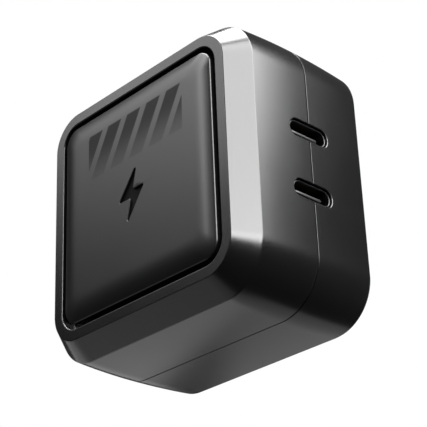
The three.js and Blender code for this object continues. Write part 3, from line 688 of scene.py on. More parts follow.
class CHARGER_OT_ports(bpy.types.Operator):
    """USB-C receptacles: shells with a rolled lip around a slot outline, and tongues on their mouldings"""

    bl_idname = "charger.ports"
    bl_label = "Ports"

    def execute(self, context):
        p = settings("ports")
        for which in ("upper", "lower"):
            shell, moulding = "usb_shell_" + which, "usb_tongue_" + which
            back, mouth = low(shell).x, high(shell).x
            t = p.shell_wall
            lip = np.linspace(0, np.pi, 11)
            around = np.column_stack([t / 2 * (np.cos(lip) - 1), mouth - t / 2 + t / 2 * np.sin(lip)])
            profile = np.concatenate([[[0, back], [0, mouth - t]], around, [[-t, mouth - t], [-t, back]]])
            piece = skin("receptacle_shell_" + which, carried(port_outline(which, 0), profile, X), loop=True)
            finish_piece(piece, "charger", shell, "steel")

            centre, tip = middle(moulding), high(moulding).x
            step = back + p.tongue_base
            base = (high(moulding) - low(moulding)) / 2
            half_y, half_z = p.tongue_width / 2, p.tongue_thickness / 2
            rows = np.array(
                [
                    (back, base.y, base.z, 0.96 * base.z),
                    (step - 0.1 * MM, base.y, base.z, 0.96 * base.z),
                    (step, base.y - 0.1 * MM, base.z - 0.1 * MM, 0.9 * base.z),
                    (step + 0.02 * MM, half_y + 0.1 * MM, half_z + 0.12 * MM, 0.2 * MM),
                    (step + 0.2 * MM, half_y, half_z, 0.16 * MM),
                    (tip - 0.3 * MM, half_y, half_z, 0.16 * MM),
                    (tip - 0.08 * MM, half_y - 0.06 * MM, half_z - 0.1 * MM, 0.14 * MM),
                    (tip, half_y - 0.2 * MM, half_z - 0.2 * MM, 0.1 * MM),
                ]
            )
            a, b, co, si = corner_columns(10, (0.1, 0.5, 0.9)).T
            place, w, h, r = (v[:, None] for v in rows.T)
            points = np.stack(
                [place + 0 * a, centre.y + a * (w - r) + co * r, centre.z + b * (h - r) + si * r], axis=-1
            )
            piece = skin("receptacle_tongue_" + which, points)
            finish_piece(piece, "charger", moulding, "inner_plastic", "tongue", sharp=40)
        return {"FINISHED"}


# ---------------------------------------------------------------- folding plug


def blade_outline(grow=0.0, rounding=0.25 * MM):
    """Outline in Y and Z of a folded blade: bevelled tip, shoulders, and a tail that ends in an arc."""
    p = settings("plug")
    hinge, tip = middle("plug_carrier"), low("blade_left").z
    reach = high("blade_left").z - hinge.z + grow
    half, tail = p.blade_width / 2 + grow, p.tail_width / 2 + grow
    span = np.arcsin(tail / reach) * np.linspace(1, -1, 9)
    arc = np.column_stack([reach * np.sin(span), reach * np.cos(span)])
    z_tip = tip - hinge.z
    corners = [
        (-half + p.blade_tip, z_tip),
        (half - p.blade_tip, z_tip),
        (half, z_tip + p.blade_tip),
        (half, tail),
        (tail, tail),
        *arc,
        (-tail, tail),
        (-half, tail),
        (-half, z_tip + p.blade_tip),
    ]
    return soften_outline(corners, rounding, 3) + [hinge.y, hinge.z]


class CHARGER_OT_plug(bpy.types.Operator):
    """Folding plug: a bar with four flats and trunnions, and two plates along X from a blade's outline"""

    bl_idname = "charger.plug"
    bl_label = "Folding plug"

    def execute(self, context):
        p = settings("plug")
        hinge, reach = middle("plug_carrier"), high("plug_carrier").x
        flat, bar = high("plug_carrier").y - hinge.y, reach - p.trunnion_length
        steps = 96
        ring = directions((np.arange(steps) + 0.5) / steps * 2 * np.pi)
        section = np.clip(p.carrier_corner * ring, -flat, flat)
        ends = rounded_ends(-bar, bar, p.carrier_edge, 5)
        body = section * (1 + ends[:, :1, None] / flat)
        pin = p.trunnion * ring
        stub = np.array([pin * 0.88, pin, pin, pin])
        x_stub = np.array([-reach, -reach + 0.18 * MM, -bar - 0.1 * MM, -bar])
        flats = np.concatenate([stub, body, stub[::-1]])
        places = np.concatenate([x_stub, ends[:, 1], -x_stub[::-1]])
        along = np.broadcast_to(places[:, None, None], (*flats.shape[:2], 1))
        points = np.concatenate([along, flats], axis=-1)
        carrier = skin("carrier_moulding", points + [0, hinge.y, hinge.z])
        play = 0.05 * MM
        for side in ("left", "right"):
            node = "blade_" + side
            x0, x1 = low(node).x, high(node).x
            slot = carried(blade_outline(play), straight_ends(x0 - play, x1 + play), X)
            combine(carrier, [skin("slot", slot)])
            plate = carried(blade_outline(), rounded_ends(x0, x1, p.blade_edge), X)
            blade = skin("blade_plate_" + side, plate)
            centre = (hinge.y, low(node).z + p.hole_height)
            first, last = (flared_mouth(middle(node).x, x, 0.15 * MM) for x in (x0, x1))
            mouths = np.concatenate([first[:0:-1], last[1:]])
            combine(blade, [skin("hole", carried(circle(p.hole, centre), mouths, X))])
            finish_piece(blade, "plug", node, "blade_plating")
        finish_piece(carrier, "plug", "plug_carrier", "inner_plastic")
        return {"FINISHED"}


# ---------------------------------------------------------------- capacitors


def can_profile(radius, start, end, crimp):
    """Profile of a capacitor from foot to top: rubber foot, crimped groove, rounded shoulder and sunk top."""
    rim = 0.06 * radius
    return soften(
        [
            (0.05 * radius, start, 0, 0),
            (0.78 * radius, start, 0, 0),
            (0.82 * radius, start + 0.02 * radius, 0, 0),
            (radius, start + 0.05 * radius, 0, 0.08 * radius),
            (radius, start + crimp - 0.25 * radius, 0, 0.1 * radius),
            (0.87 * radius, start + crimp, 0, 0.12 * radius),
            (radius, start + crimp + 0.25 * radius, 0, 0.1 * radius),
            (radius, end, 0, 0.14 * radius),
            (radius - 3 * rim, end, 0, 0.02 * radius),
            (radius - 3.6 * rim, end - rim, 0, 0.02 * radius),
            (0.05 * radius, end - rim, 0, 0),
        ],
        4,
    )


class CHARGER_OT_capacitors(bpy.types.Operator):
    """Electrolytic capacitors: each is a profile with a crimped groove, turned about its axis"""

    bl_idname = "charger.capacitors"
    bl_label = "Capacitors"

    def execute(self, context):
        cans = [("bulk_capacitor_", 3, "capacitor_sleeve"), ("output_capacitor_", 2, "capacitor_can")]
        for stem, count, slot in cans:
            for i in range(1, count + 1):
                node = stem + str(i)
                span = high(node) - low(node)
                radius, centre = span.x / 2, middle(node)
                profile = can_profile(radius, low(node).y, high(node).y, 0.7 * radius)
                points = turned(profile, Y, (centre.x, centre.z))
                piece = skin(stem.replace("capacitor", "can") + str(i), points)
                finish_piece(piece, "charger", node, slot, sharp=40)
        return {"FINISHED"}


# ---------------------------------------------------------------- finishes


class Recipe:
    """The node tree of one material: its shader, and short calls for the nodes that the finishes share."""

    def __init__(self, name, rgb, roughness, metallic=0.0, **sockets):
        self.material = bpy.data.materials.new(name)
        self.material.use_nodes = True
        self.tree = self.material.node_tree
        self.shader = self.tree.nodes["Principled BSDF"]
        self.rgb = tuple(rgb)
        self.shader.inputs["Base Color"].default_value = (*rgb, 1)
        self.shader.inputs["Roughness"].default_value = roughness
        self.shader.inputs["Metallic"].default_value = metallic
        for socket, value in sockets.items():
            self.shader.inputs[socket.replace("_", " ")].default_value = value
        self.object_place = self.node("ShaderNodeTexCoord").outputs["Object"]
        self.heights = None

    def node(self, kind, settings=(), **inputs):
        """A node, with its settings and with its inputs linked to sockets or set to values."""
        made = self.tree.nodes.new(kind)
        for key, value in dict(settings).items():
            setattr(made, key, value)
        for key, value in inputs.items():
            self.plug(value, made.inputs[key.replace("_", " ")])
        return made

    def plug(self, value, socket):
        """Links a socket, or sets a value."""
        if isinstance(value, bpy.types.NodeSocket):
            self.tree.links.new(value, socket)
        else:
            socket.default_value = value

    def math(self, operation, *values):
        """A Math node's result."""
        made = self.node("ShaderNodeMath", {"operation": operation})
        for value, socket in zip(values, made.inputs):
            self.plug(value, socket)
        return made.outputs[0]

    def times(self, first, *others):
        """The product of all the values."""
        for value in others:
            first = self.math("MULTIPLY", first, value)
        return first

    def plus(self, first, second):
        """A sum."""
        return self.math("ADD", first, second)

    def blend(self, first, second, share):
        """The share of the first value and the rest of the second."""
        return self.plus(self.times(first, share), self.times(second, 1 - share))

    def along(self, centre=(0, 0, 0), stretch=(1, 1, 1)):
        """Object coordinates from a centre, stretched."""
        place = {"Vector": self.object_place, "Location": centre}
        moved = self.node("ShaderNodeMapping", {"vector_type": "TEXTURE"}, **place).outputs[0]
        return self.node("ShaderNodeMapping", Vector=moved, Scale=stretch).outputs[0]

    def axes(self, vector=None):
        """The three parts of a vector."""
        return self.node("ShaderNodeSeparateXYZ", Vector=vector or self.object_place).outputs

    def noise(self, scale, detail=2.0, rough=0.5, vector=None):
        """Noise from nothing to one."""
        sockets = {"Vector": vector or self.object_place, "Scale": scale, "Detail": detail}
        return self.node("ShaderNodeTexNoise", Roughness=rough, **sockets).outputs[0]

    def cells(self, scale, feature="F1"):
        """Distance in a Voronoi pattern."""
        made = self.node("ShaderNodeTexVoronoi", {"feature": feature}, Vector=self.object_place, Scale=scale)
        return made.outputs["Distance"]

    def reach(self, value, start, end, low=0.0, high=1.0):
        """A value carried from one span to another, smooth at both ends and held there."""
        sockets = {"Value": value, "From_Min": start, "From_Max": end, "To_Min": low, "To_Max": high}
        return self.node("ShaderNodeMapRange", {"interpolation_type": "SMOOTHSTEP"}, **sockets).outputs[0]

    def inside(self, value, start, end, soft):
        """One between two places, fading to nothing over the soft length on each side."""
        rise = self.reach(value, start - soft, start + soft)
        return self.times(rise, self.reach(value, end - soft, end + soft, 1.0, 0.0))

    def teeth(self, value, pitch, share, soft=0.06):
        """One over a share of each pitch, nothing over the rest."""
        part = self.math("FRACT", self.math("DIVIDE", value, pitch))
        return self.inside(part, 0.5 - share / 2, 0.5 + share / 2, soft)

    def mix(self, part, first, second):
        """Colour between two, each a socket or an (r, g, b)."""
        made = self.node("ShaderNodeMix", {"data_type": "RGBA"}, Factor=part)
        for value, socket in ((first, made.inputs[6]), (second, made.inputs[7])):
            self.plug(value if isinstance(value, bpy.types.NodeSocket) else (*value, 1), socket)
        return made.outputs[2]

    def tint(self, part, low_share, high_share):
        """The material's own colour, lighter or darker where the part is low or high."""
        return self.mix(part, [v * low_share for v in self.rgb], [v * high_share for v in self.rgb])

    def paint(self, colour_socket):
        self.plug(colour_socket, self.shader.inputs["Base Color"])

    def gloss(self, part, low, high):
        """Roughness from low to high as the part goes from nothing to one."""
        span = self.node("ShaderNodeMapRange", Value=part, To_Min=low, To_Max=high)
        self.plug(span.outputs[0], self.shader.inputs["Roughness"])

    def bump(self, height, distance, strength=1.0):
        """Adds a relief of that height, in metres, on top of the earlier ones."""
        made = self.node("ShaderNodeBump", Height=height, Distance=distance, Strength=strength)
        if self.heights:
            self.plug(self.heights, made.inputs["Normal"])
        self.heights = made.outputs[0]
        self.plug(self.heights, self.shader.inputs["Normal"])


def moulded_casing():
    """Satin black polycarbonate with a fine grain, flow marks and haze; coarser on the wall face."""
    f = settings("finish")
    r = Recipe("satin_black_casing", f.casing, f.casing_roughness)
    flow = r.noise(55, 3, 0.6)
    grain = r.noise(5200, 2)
    y_wall = high("rear_housing").y
    wall = r.reach(r.axes()[1], y_wall - 0.12 * MM, y_wall - 0.02 * MM)
    r.paint(r.mix(wall, r.tint(r.noise(420, 3), 0.85, 1.2), f.wall_face))
    even = r.reach(r.blend(flow, grain, 0.7), 0, 1, f.casing_roughness - 0.05, f.casing_roughness + 0.05)
    r.gloss(wall, even, r.plus(even, 0.2))
    r.bump(grain, 4e-6, 0.35)
    r.bump(flow, 6e-5, 0.05)
    return r.material


def moulded_panel():
    """Front panel: finer grain, slanted bars in dark ink that thins downwards, and painted shade that darkens
    the sunk mark.
    """
    f = settings("finish")
    r = Recipe("front_panel_plastic", f.panel, f.panel_roughness)
    centre = middle("front_panel")
    x, _, z = r.axes(r.along(centre))
    grain = r.noise(7000, 2)
    pitch, slant, ink_share = 5.2 * MM, -0.55, 0.68
    bars = r.teeth(r.plus(x, r.times(z, slant)), pitch, ink_share, 0.03)
    rows = r.inside(z, 6.2 * MM, 15.2 * MM, 0.12 * MM)
    span = r.inside(x, -12 * MM, 13 * MM, 0.12 * MM)
    thin = r.reach(z, 5.5 * MM, 14 * MM, 0.25, 1.0)
    ink = r.times(bars, rows, span, thin)
    depth = r.axes()[1]
    # Painted shade: inside the sunk mark the colour goes near black and the specular drops, standing in for
    # the shade in the recess.
    sunk = r.reach(depth, low("front_panel").y + 0.15 * MM, low("front_panel").y + 0.32 * MM)
    sunk = r.times(sunk, r.inside(z, -7 * MM, 5 * MM, 0.1 * MM), r.inside(x, -6 * MM, 6 * MM, 0.1 * MM))
    # dark joins the printed bars with the painted shade of the sunk mark; the near-black colour below serves
    # both.
    dark = r.math("MAXIMUM", ink, sunk)
    r.paint(r.mix(dark, r.tint(r.noise(300, 3), 0.85, 1.2), (0.0012, 0.0012, 0.0012)))
    r.gloss(r.blend(dark, r.noise(70, 3), 0.8), f.panel_roughness - 0.02, 0.62)
    shine = r.math("SUBTRACT", r.reach(ink, 0, 1, 0.5, 0.2), r.times(sunk, 0.44))
    r.plug(shine, r.shader.inputs["Specular IOR Level"])
    r.bump(grain, 3e-6, 0.3)
    return r.material


def inner_plastic():
    """Glass-filled nylon: dull, with short fibres showing in the skin."""
    r = Recipe("glass_filled_nylon", (0.0075, 0.0075, 0.008), 0.48)
    fibres = r.noise(2600, 3, 0.7, r.along(stretch=(1, 1, 0.25)))
    r.paint(r.tint(fibres, 0.7, 1.5))
    r.gloss(fibres, 0.38, 0.6)
    r.bump(fibres, 1.2e-5, 0.4)
    return r.material


def tongue_plastic():
    """Receptacle tongue: black moulding with a row of twelve gold contacts on each face."""
    r = Recipe("tongue_with_contacts", (0.018, 0.018, 0.0185), 0.42)
    centre = middle("usb_tongue_upper")
    x, y, _ = r.axes()
    across = r.math("SUBTRACT", y, centre.y)
    tip = high("usb_tongue_upper").x
    stripes = r.teeth(across, 0.5 * MM, 0.52, 0.05)
    row = r.inside(across, -3 * MM, 3 * MM, 0.02 * MM)
    length = r.inside(x, tip - 3.9 * MM, tip - 0.45 * MM, 0.03 * MM)
    face = r.math("ABSOLUTE", r.axes(r.node("ShaderNodeNewGeometry").outputs["Normal"])[2])
    gold = r.times(stripes, row, length, r.reach(face, 0.8, 0.95))
    wear = r.noise(4000, 2)
    r.paint(r.mix(gold, r.tint(wear, 0.8, 1.3), (0.62, 0.42, 0.14)))
    r.plug(gold, r.shader.inputs["Metallic"])
    r.gloss(r.times(r.math("SUBTRACT", 1.0, gold), 0.8), 0.25, 0.5)
    r.bump(gold, 2e-5, 0.4)
    return r.material


def brushed_metal(name, rgb, roughness, along, scratch=(1.0, 1.0), pits=0.15):
    """Rolled or brushed metal: fine lines along one axis, a slow tarnish and a few pits."""
    r = Recipe(name, rgb, roughness, 1.0)
    stretch = [1.0, 1.0, 1.0]
    stretch[along] = 0.03
    lines = r.noise(9000, 3, 0.6, r.along(stretch=stretch))
    tarnish = r.noise(260, 4, 0.6)
    r.paint(r.tint(r.times(tarnish, lines), 1.05, 0.62 * scratch[0]))
    r.gloss(r.blend(lines, tarnish, 0.6), roughness - 0.1, roughness + 0.16)
    r.bump(lines, 3e-6, 0.5 * scratch[1])
    r.bump(r.reach(r.cells(1500), 0.0, 0.25), 4e-6, pits)
    return r.material


def blade_plating():
    """Nickel plate on the blades, brushed along their length and rubbed brighter near the tips."""
    f = settings("finish")
    r = Recipe("nickel_plate", f.plating, 0.3, 1.0)
    lines = r.noise(7000, 3, 0.6, r.along(stretch=(1, 1, 0.03)))
    rub = r.reach(r.axes()[2], low("blade_left").z + 2 * MM, low("blade_left").z + 14 * MM)
    haze = r.noise(320, 4, 0.6)
    part = r.blend(haze, rub, 0.6)
    r.paint(r.tint(part, 1.08, 0.78))
    r.gloss(r.blend(lines, part, 0.5), 0.18, 0.42)
    r.bump(lines, 3e-6, 0.5)
    return r.material


def insulation(name, rgb):
    """Extruded wire insulation: slight gloss, faint lines along it and a powdery bloom."""
    r = Recipe(name, rgb, 0.42)
    r.paint(r.tint(r.noise(900, 3), 0.8, 1.2))
    r.gloss(r.noise(500, 3), 0.34, 0.5)
    r.bump(r.noise(5000, 2, 0.5, r.along(stretch=(1, 0.05, 1))), 1e-5, 0.3)
    return r.material


def circuit_board(name, across):
    """Green solder mask over traces and pads on the faces across one axis, and bare laminate on the edges."""
    r = Recipe(name, (0.006, 0.075, 0.032), 0.33)
    face = r.math("ABSOLUTE", r.axes(r.node("ShaderNodeNewGeometry").outputs["Normal"])[across])
    face = r.reach(face, 0.5, 0.8)
    cell = r.cells(420, "DISTANCE_TO_EDGE")
    trace = r.reach(cell, 0.05, 0.09, 1.0, 0.0)
    pad = r.reach(r.cells(520), 0.16, 0.2, 1.0, 0.0)
    weave = r.noise(2400, 2, 0.5, r.along(stretch=(1, 0.2, 1)))
    mask = r.mix(trace, r.tint(r.noise(200, 2), 0.85, 1.15), (0.02, 0.16, 0.07))
    mask = r.mix(pad, mask, (0.62, 0.6, 0.55))
    r.paint(r.mix(face, r.mix(weave, (0.30, 0.27, 0.14), (0.45, 0.41, 0.25)), mask))
    r.gloss(r.times(face, pad), 0.34, 0.22)
    r.bump(r.math("MAXIMUM", trace, pad), 3e-5, 0.5)
    return r.material


def chip_epoxy():
    """Moulding compound of the chips: dull black with fine filler grains."""
    r = Recipe("chip_epoxy", (0.011, 0.011, 0.012), 0.55)
    grain = r.noise(8000, 3)
    r.paint(r.tint(grain, 0.7, 1.5))
    r.gloss(r.noise(1200, 2), 0.48, 0.66)
    r.bump(grain, 8e-6, 0.5)
    return r.material


def speckled(name, rgb, roughness, grain_scale, low_share, high_share, relief=1e-5, **sockets):
    """A grainy solid, such as ferrite, a silicone pad, a lacquer or a film, with its own grain size."""
    r = Recipe(name, rgb, roughness, **sockets)
    grain = r.noise(grain_scale, 4, 0.65)
    clump = r.cells(grain_scale / 3)
    part = r.times(r.plus(grain, clump), 0.6)
    r.paint(r.tint(part, low_share, high_share))
    r.gloss(part, max(roughness - 0.1, 0.05), roughness + 0.12)
    r.bump(part, relief, 0.5)
    return r.material


def sleeve(name, node, body, top, stripe):
    """Capacitor: printed sleeve with a polarity stripe on one side, and a bare top scored with a cross."""
    r = Recipe(name, body, 0.34)
    centre, start, end = middle(node), low(node), high(node)
    radius = (end.x - start.x) / 2
    gap = 0.6 * MM
    pitch = 2 * radius + gap
    x, y, z = r.axes(r.along((centre.x, start.y, centre.z)))
    near = r.math("WRAP", z, pitch / 2, -pitch / 2)
    side = r.inside(near, -0.3 * radius, 0.3 * radius, 0.02 * radius)
    side = r.times(side, r.reach(x, 0.0, 0.1 * radius))
    dash = r.teeth(y, 1.6 * MM, 0.6)
    band = r.mix(r.times(side, dash), r.mix(side, r.tint(r.noise(500, 3), 0.85, 1.2), stripe), r.rgb)
    height = end.y - start.y
    distance = r.math("SQRT", r.plus(r.times(x, x), r.times(near, near)))
    inner = r.reach(distance, 0.86 * radius, 0.9 * radius, 1.0, 0.0)
    bare = r.times(r.reach(y, height - 0.3 * MM, height - 0.2 * MM), inner)
    cross = r.math("MINIMUM", r.math("ABSOLUTE", x), r.math("ABSOLUTE", near))
    score = r.times(bare, r.reach(cross, 0.06 * MM, 0.12 * MM, 1.0, 0.0))
    r.paint(r.mix(bare, band, (top, top, top)))
    r.plug(bare, r.shader.inputs["Metallic"])
    r.gloss(r.noise(700, 3), 0.28, 0.42)
    r.bump(score, -8e-5, 0.8)
    r.bump(r.noise(1500, 3), 1e-5, 0.25)
    return r.material


def tape():
    """Polyester tape wound around the coil: overlapping turns with straight edges, and slight wrinkles."""
    r = Recipe("winding_tape", (0.72, 0.46, 0.03), 0.32, Coat_Weight=0.3)
    y = r.axes()[1]
    turns = r.math("FRACT", r.math("DIVIDE", y, 2.1 * MM))
    wrinkle = r.noise(700, 3, 0.6, r.along(stretch=(1, 0.3, 1)))
    edge = r.reach(turns, 0.02, 0.07, 1.0, 0.0)
    r.paint(r.mix(edge, r.tint(wrinkle, 0.85, 1.12), (0.45, 0.26, 0.015)))
    r.gloss(wrinkle, 0.24, 0.44)
    r.bump(turns, 3e-5, 0.5)
    r.bump(wrinkle, 3e-5, 0.4)
    return r.material


def wound_copper():
    """Enamelled wire around the choke's ring: turns at even angles about its axis, with painted shade in the
    grooves between them.
    """
    r = Recipe("enamelled_copper", (0.62, 0.24, 0.09), 0.3, 0.9, Coat_Weight=0.5)
    centre = middle("choke_core")
    x, _, z = r.axes(r.along((centre.x, centre.y, centre.z)))
    angle = r.math("ARCTAN2", z, x)
    turns = r.math("ABSOLUTE", r.math("SINE", r.times(angle, 34.0)))
    # Painted shade: dark brown where the turns meet, standing in for the shade in the grooves between the
    # wires.
    r.paint(r.mix(turns, (0.14, 0.035, 0.012), r.tint(r.noise(900, 2), 0.85, 1.15)))
    r.gloss(turns, 0.5, 0.26)
    r.bump(turns, 2.5e-4, 0.9)
    return r.material


def fuse_case():
    """Fuse: ribbed brown case with a paler band around its middle."""
    r = Recipe("fuse_case", (0.09, 0.04, 0.018), 0.42)
    centre = middle("fuse")
    x, _, _ = r.axes(r.along(centre))
    band = r.inside(x, -0.9 * MM, 0.9 * MM, 0.05 * MM)
    grain = r.noise(2600, 3)
    r.paint(r.mix(band, r.tint(grain, 0.8, 1.25), (0.42, 0.34, 0.22)))
    r.gloss(grain, 0.34, 0.5)
    r.bump(r.teeth(x, 0.8 * MM, 0.5, 0.1), 4e-5, 0.4)
    return r.material


FINISHES = {}


def mix_finishes():
    """All finishes, by the slot or the piece that they are for."""
    f = settings("finish")
    made = {
        "casing": moulded_casing(),
        "panel": moulded_panel(),
        "inner_plastic": inner_plastic(),
        "tongue": tongue_plastic(),
        "blade_plating": blade_plating(),
        "steel": brushed_metal("receptacle_steel", f.steel, 0.3, X),
        "screw": brushed_metal("screw_steel", (0.5, 0.5, 0.5), 0.36, Z, (1.2, 0.6), 0.4),
        "spring_bronze": brushed_metal("spring_bronze", (0.72, 0.42, 0.19), 0.32, Y),
        "live_insulation": insulation("live_insulation", (0.13, 0.045, 0.012)),
        "neutral_insulation": insulation("neutral_insulation", (0.012, 0.075, 0.36)),
        "main_board": circuit_board("main_board_laminate", Y),
        "output_board": circuit_board("output_board_laminate", X),
        "chip": chip_epoxy(),
        "spreader_aluminium": brushed_metal("spreader_aluminium", (0.7, 0.71, 0.72), 0.36, X),
        "film": speckled(
            "insulating_film", (0.62, 0.55, 0.4), 0.28, 500, 0.92, 1.05, Transmission_Weight=0.25
        ),
        "adhesive": speckled("acrylic_adhesive", (0.45, 0.45, 0.44), 0.5, 900, 0.8, 1.1, 3e-5),
        "gap_pad": speckled("silicone_gap_pad", (0.25, 0.29, 0.36), 0.72, 3200, 0.75, 1.2, 3e-5),
        "ferrite": speckled("ferrite", (0.022, 0.022, 0.024), 0.6, 4200, 0.5, 2.1, 2e-5),
        "bobbin": speckled("phenolic_bobbin", (0.012, 0.011, 0.011), 0.46, 2200, 0.75, 1.35),
        "film_capacitor": speckled("film_capacitor_box", (0.68, 0.42, 0.03), 0.36, 1800, 0.88, 1.08),
        "disc_capacitor": speckled("disc_capacitor_lacquer", (0.02, 0.11, 0.42), 0.26, 700, 0.8, 1.2, 4e-5),
        "capacitor_sleeve": sleeve(
            "bulk_capacitor_sleeve", "bulk_capacitor_2", (0.008, 0.009, 0.013), 0.6, (0.42, 0.42, 0.4)
        ),
        "capacitor_can": sleeve(
            "output_capacitor_can", "output_capacitor_1", (0.5, 0.5, 0.5), 0.62, (0.03, 0.05, 0.16)
        ),
        "winding_tape": tape(),
        "copper": wound_copper(),
        "fuse_case": fuse_case(),
    }
    FINISHES.update(made)


KEPT_NODES = {
    "adhesive": "panel_adhesive",
    "inner_plastic": "cradle_cover",
    "screw": "cradle_screw_left cradle_screw_right detent_spring",
    "spring_bronze": "contact_spring_left contact_spring_right",
    "live_insulation": "live_lead",
    "neutral_insulation": "neutral_lead",
    "output_board": "output_board",
    "main_board": "main_board",
    "chip": "port_controller power_switch sync_rectifier primary_controller bridge_rectifier",
    "spreader_aluminium": "heat_spreader",
    "film": "insulating_film",
    "gap_pad": "gap_pad",
    "ferrite": "transformer_core_lower transformer_core_upper choke_core",
    "bobbin": "transformer_bobbin",
    "winding_tape": "transformer_winding",
    "copper": "choke_winding_live choke_winding_neutral",
    "fuse_case": "fuse",
    "film_capacitor": "film_capacitor",
    "disc_capacitor": "disc_capacitor",
}


class CHARGER_OT_inner_finishes(bpy.types.Operator):
    """Finishes of the inner pieces that keep their CAD shape"""

    bl_idname = "charger.inner_finishes"
    bl_label = "Inner finishes"

    def execute(self, context):
        for finish, nodes in KEPT_NODES.items():
            for node in nodes.split():
                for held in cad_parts[node].material_slots:
                    held.material = FINISHES[finish]
        return {"FINISHED"}


# ---------------------------------------------------------------- stage


def softbox(name, azimuth, elevation, distance, width, height, radiance, lean=0.0):
    """A soft light: a rectangle that faces the charger, with the power that gives its surface that radiance.

    The azimuth turns from +X towards +Y, and lean turns the rectangle about its own axis. Power is radiance
    times pi times the area.
    """
    lamp = bpy.data.lights.new(name, "AREA")
    lamp.shape, lamp.size, lamp.size_y = "RECTANGLE", width, height
    lamp.energy = radiance * pi * width * height
    light = placed(name, lamp)
    light.visible_camera = False
    a, e = radians(azimuth), radians(elevation)
    out = Vector((cos(a) * cos(e), sin(a) * cos(e), sin(e)))
    light.location = middle("front_housing") + out * distance
    light.rotation_mode = "QUATERNION"
    light.rotation_quaternion = out.to_track_quat("Z", "Y") @ Quaternion((0, 0, 1), radians(lean))


def surround(glow, backdrop):
    """World: an even backdrop where the camera sees it, and a dim even surround for everything else."""
    world = bpy.data.worlds.new("studio")
    bpy.context.scene.world = world
    world.use_nodes = True
    tree = world.node_tree
    tree.nodes.clear()
    out = tree.nodes.new("ShaderNodeOutputWorld")
    mixer = tree.nodes.new("ShaderNodeMixShader")
    path = tree.nodes.new("ShaderNodeLightPath")
    tree.links.new(path.outputs["Is Camera Ray"], mixer.inputs[0])
    for value, socket in ((glow, mixer.inputs[1]), (backdrop, mixer.inputs[2])):
        light = tree.nodes.new("ShaderNodeBackground")
        light.inputs["Color"].default_value = (value, value, value, 1)
        tree.links.new(light.outputs[0], socket)
    tree.links.new(mixer.outputs[0], out.inputs[0])


def floor_plane(z):
    """Pale floor: a grid whose height is even, far below the charger, lit evenly by a glow of its own."""
    across = np.linspace(-2.5, 2.5, 5)
    gx, gy = np.meshgrid(across, across)
    verts = np.column_stack([gx.ravel(), gy.ravel(), np.full(gx.size, z)])
    i = (np.arange(4)[:, None] * 5 + np.arange(4)).ravel()
    floor = from_points("floor", verts, np.column_stack([i, i + 1, i + 6, i + 5]).tolist())
    r = Recipe("pale_floor", (0.3, 0.3, 0.3), 0.7, Emission_Color=(0.9, 0.9, 0.9, 1), Emission_Strength=0.95)
    r.paint(r.tint(r.noise(3, 3), 0.985, 1.015))
    floor.data.materials.append(r.material)
    floor.visible_glossy = floor.visible_diffuse = floor.visible_shadow = False


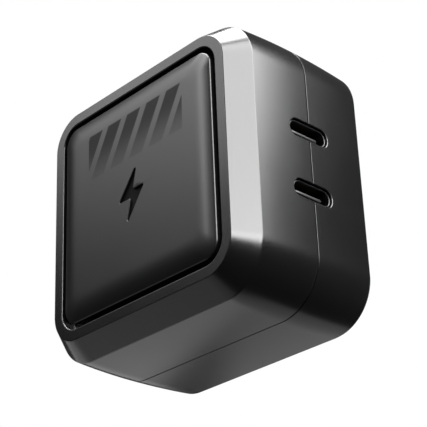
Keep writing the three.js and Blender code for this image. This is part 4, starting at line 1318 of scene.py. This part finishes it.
class CHARGER_OT_stage(bpy.types.Operator):
    """Stage: pale floor, soft lights around the charger and the camera"""

    bl_idname = "charger.stage"
    bl_label = "Stage"

    def execute(self, context):
        s = settings("stage")
        scene = context.scene
        scene.view_settings.view_transform = "Standard"
        floor_plane(-s.floor_drop)
        surround(glow=0.06, backdrop=1.0)
        # azimuth, elevation, distance, width, height, radiance and lean
        softbox("right_softbox", -5.5, 38.5, 0.8, 1.02, 0.76, 14.2, 10)
        softbox("right_low_strip", -27, 15.2, 0.8, 0.5, 0.2, 9.6, 4)
        softbox("right_fade", 35, 46, 0.8, 0.15, 0.5, 6.4)
        softbox("right_far_fade", 46, 42, 0.8, 0.16, 0.4, 0.5)
        softbox("overhead_softbox", 250, 86, 0.8, 0.6, 0.5, 20.0)
        softbox("left_softbox", -121, 50.5, 0.8, 0.6, 0.62, 2.8)
        softbox("left_strip", -113, 39, 0.7, 0.12, 0.44, 4.8)
        softbox("left_far_strip", -147, 42, 0.8, 0.14, 0.5, 1.0)
        softbox("low_left_softbox", 160, -27, 0.45, 0.34, 0.34, 0.88)
        softbox("low_back_softbox", 118, -32, 0.45, 0.24, 0.42, 0.5)
        softbox("low_front_softbox", -159, -46, 0.5, 0.4, 0.4, 0.46)
        softbox("back_softbox", 98, 2, 0.9, 0.9, 0.46, 3.4)

        camera = bpy.data.cameras.new("camera")
        camera.lens, camera.sensor_width = s.lens, 36.0
        camera.clip_start, camera.clip_end = 0.01, 10.0
        holder = placed("camera", camera)
        a, e = s.azimuth, s.elevation
        back = Vector((sin(a) * cos(e), -cos(a) * cos(e), sin(e)))
        turned_to = back.to_track_quat("Z", "Y").to_matrix().to_4x4()
        place, roll = Matrix.Translation(Vector(s.place)), Matrix.Rotation(s.roll, 4, "Z")
        holder.matrix_world = place @ turned_to @ roll
        scene.camera = holder
        return {"FINISHED"}


# ---------------------------------------------------------------- add-on

OPERATORS = (
    CHARGER_OT_stage,
    CHARGER_OT_front_housing,
    CHARGER_OT_rear_housing,
    CHARGER_OT_panel,
    CHARGER_OT_ports,
    CHARGER_OT_plug,
    CHARGER_OT_capacitors,
    CHARGER_OT_inner_finishes,
)
GROUPS = {
    "casing": CasingSettings,
    "panel": PanelSettings,
    "ports": PortSettings,
    "plug": PlugSettings,
    "finish": FinishSettings,
    "stage": StageSettings,
}


class CHARGER_PT_sidebar(bpy.types.Panel):
    """Lists the charger's settings and the operators that build it"""

    bl_idname = "CHARGER_PT_sidebar"
    bl_label = "Charger"
    bl_space_type = "VIEW_3D"
    bl_region_type = "UI"
    bl_category = "Charger"

    def draw(self, context):
        for operator in OPERATORS:
            self.layout.operator(operator.bl_idname)
        for name, group in GROUPS.items():
            column = self.layout.column(align=True)
            column.label(text=name.title())
            for key in group.__annotations__:
                column.prop(settings(name), key)


def register():
    for part in (*GROUPS.values(), *OPERATORS, CHARGER_PT_sidebar):
        bpy.utils.register_class(part)
    for name, group in GROUPS.items():
        setattr(bpy.types.Scene, "charger_" + name, bpy.props.PointerProperty(type=group))


def unregister():
    for name in GROUPS:
        delattr(bpy.types.Scene, "charger_" + name)
    for part in reversed((*GROUPS.values(), *OPERATORS, CHARGER_PT_sidebar)):
        bpy.utils.unregister_class(part)


def main():
    register()
    mix_finishes()
    for operator in OPERATORS:
        group, call = operator.bl_idname.split(".")
        getattr(getattr(bpy.ops, group), call)()


if __name__ == "__main__":
    main()
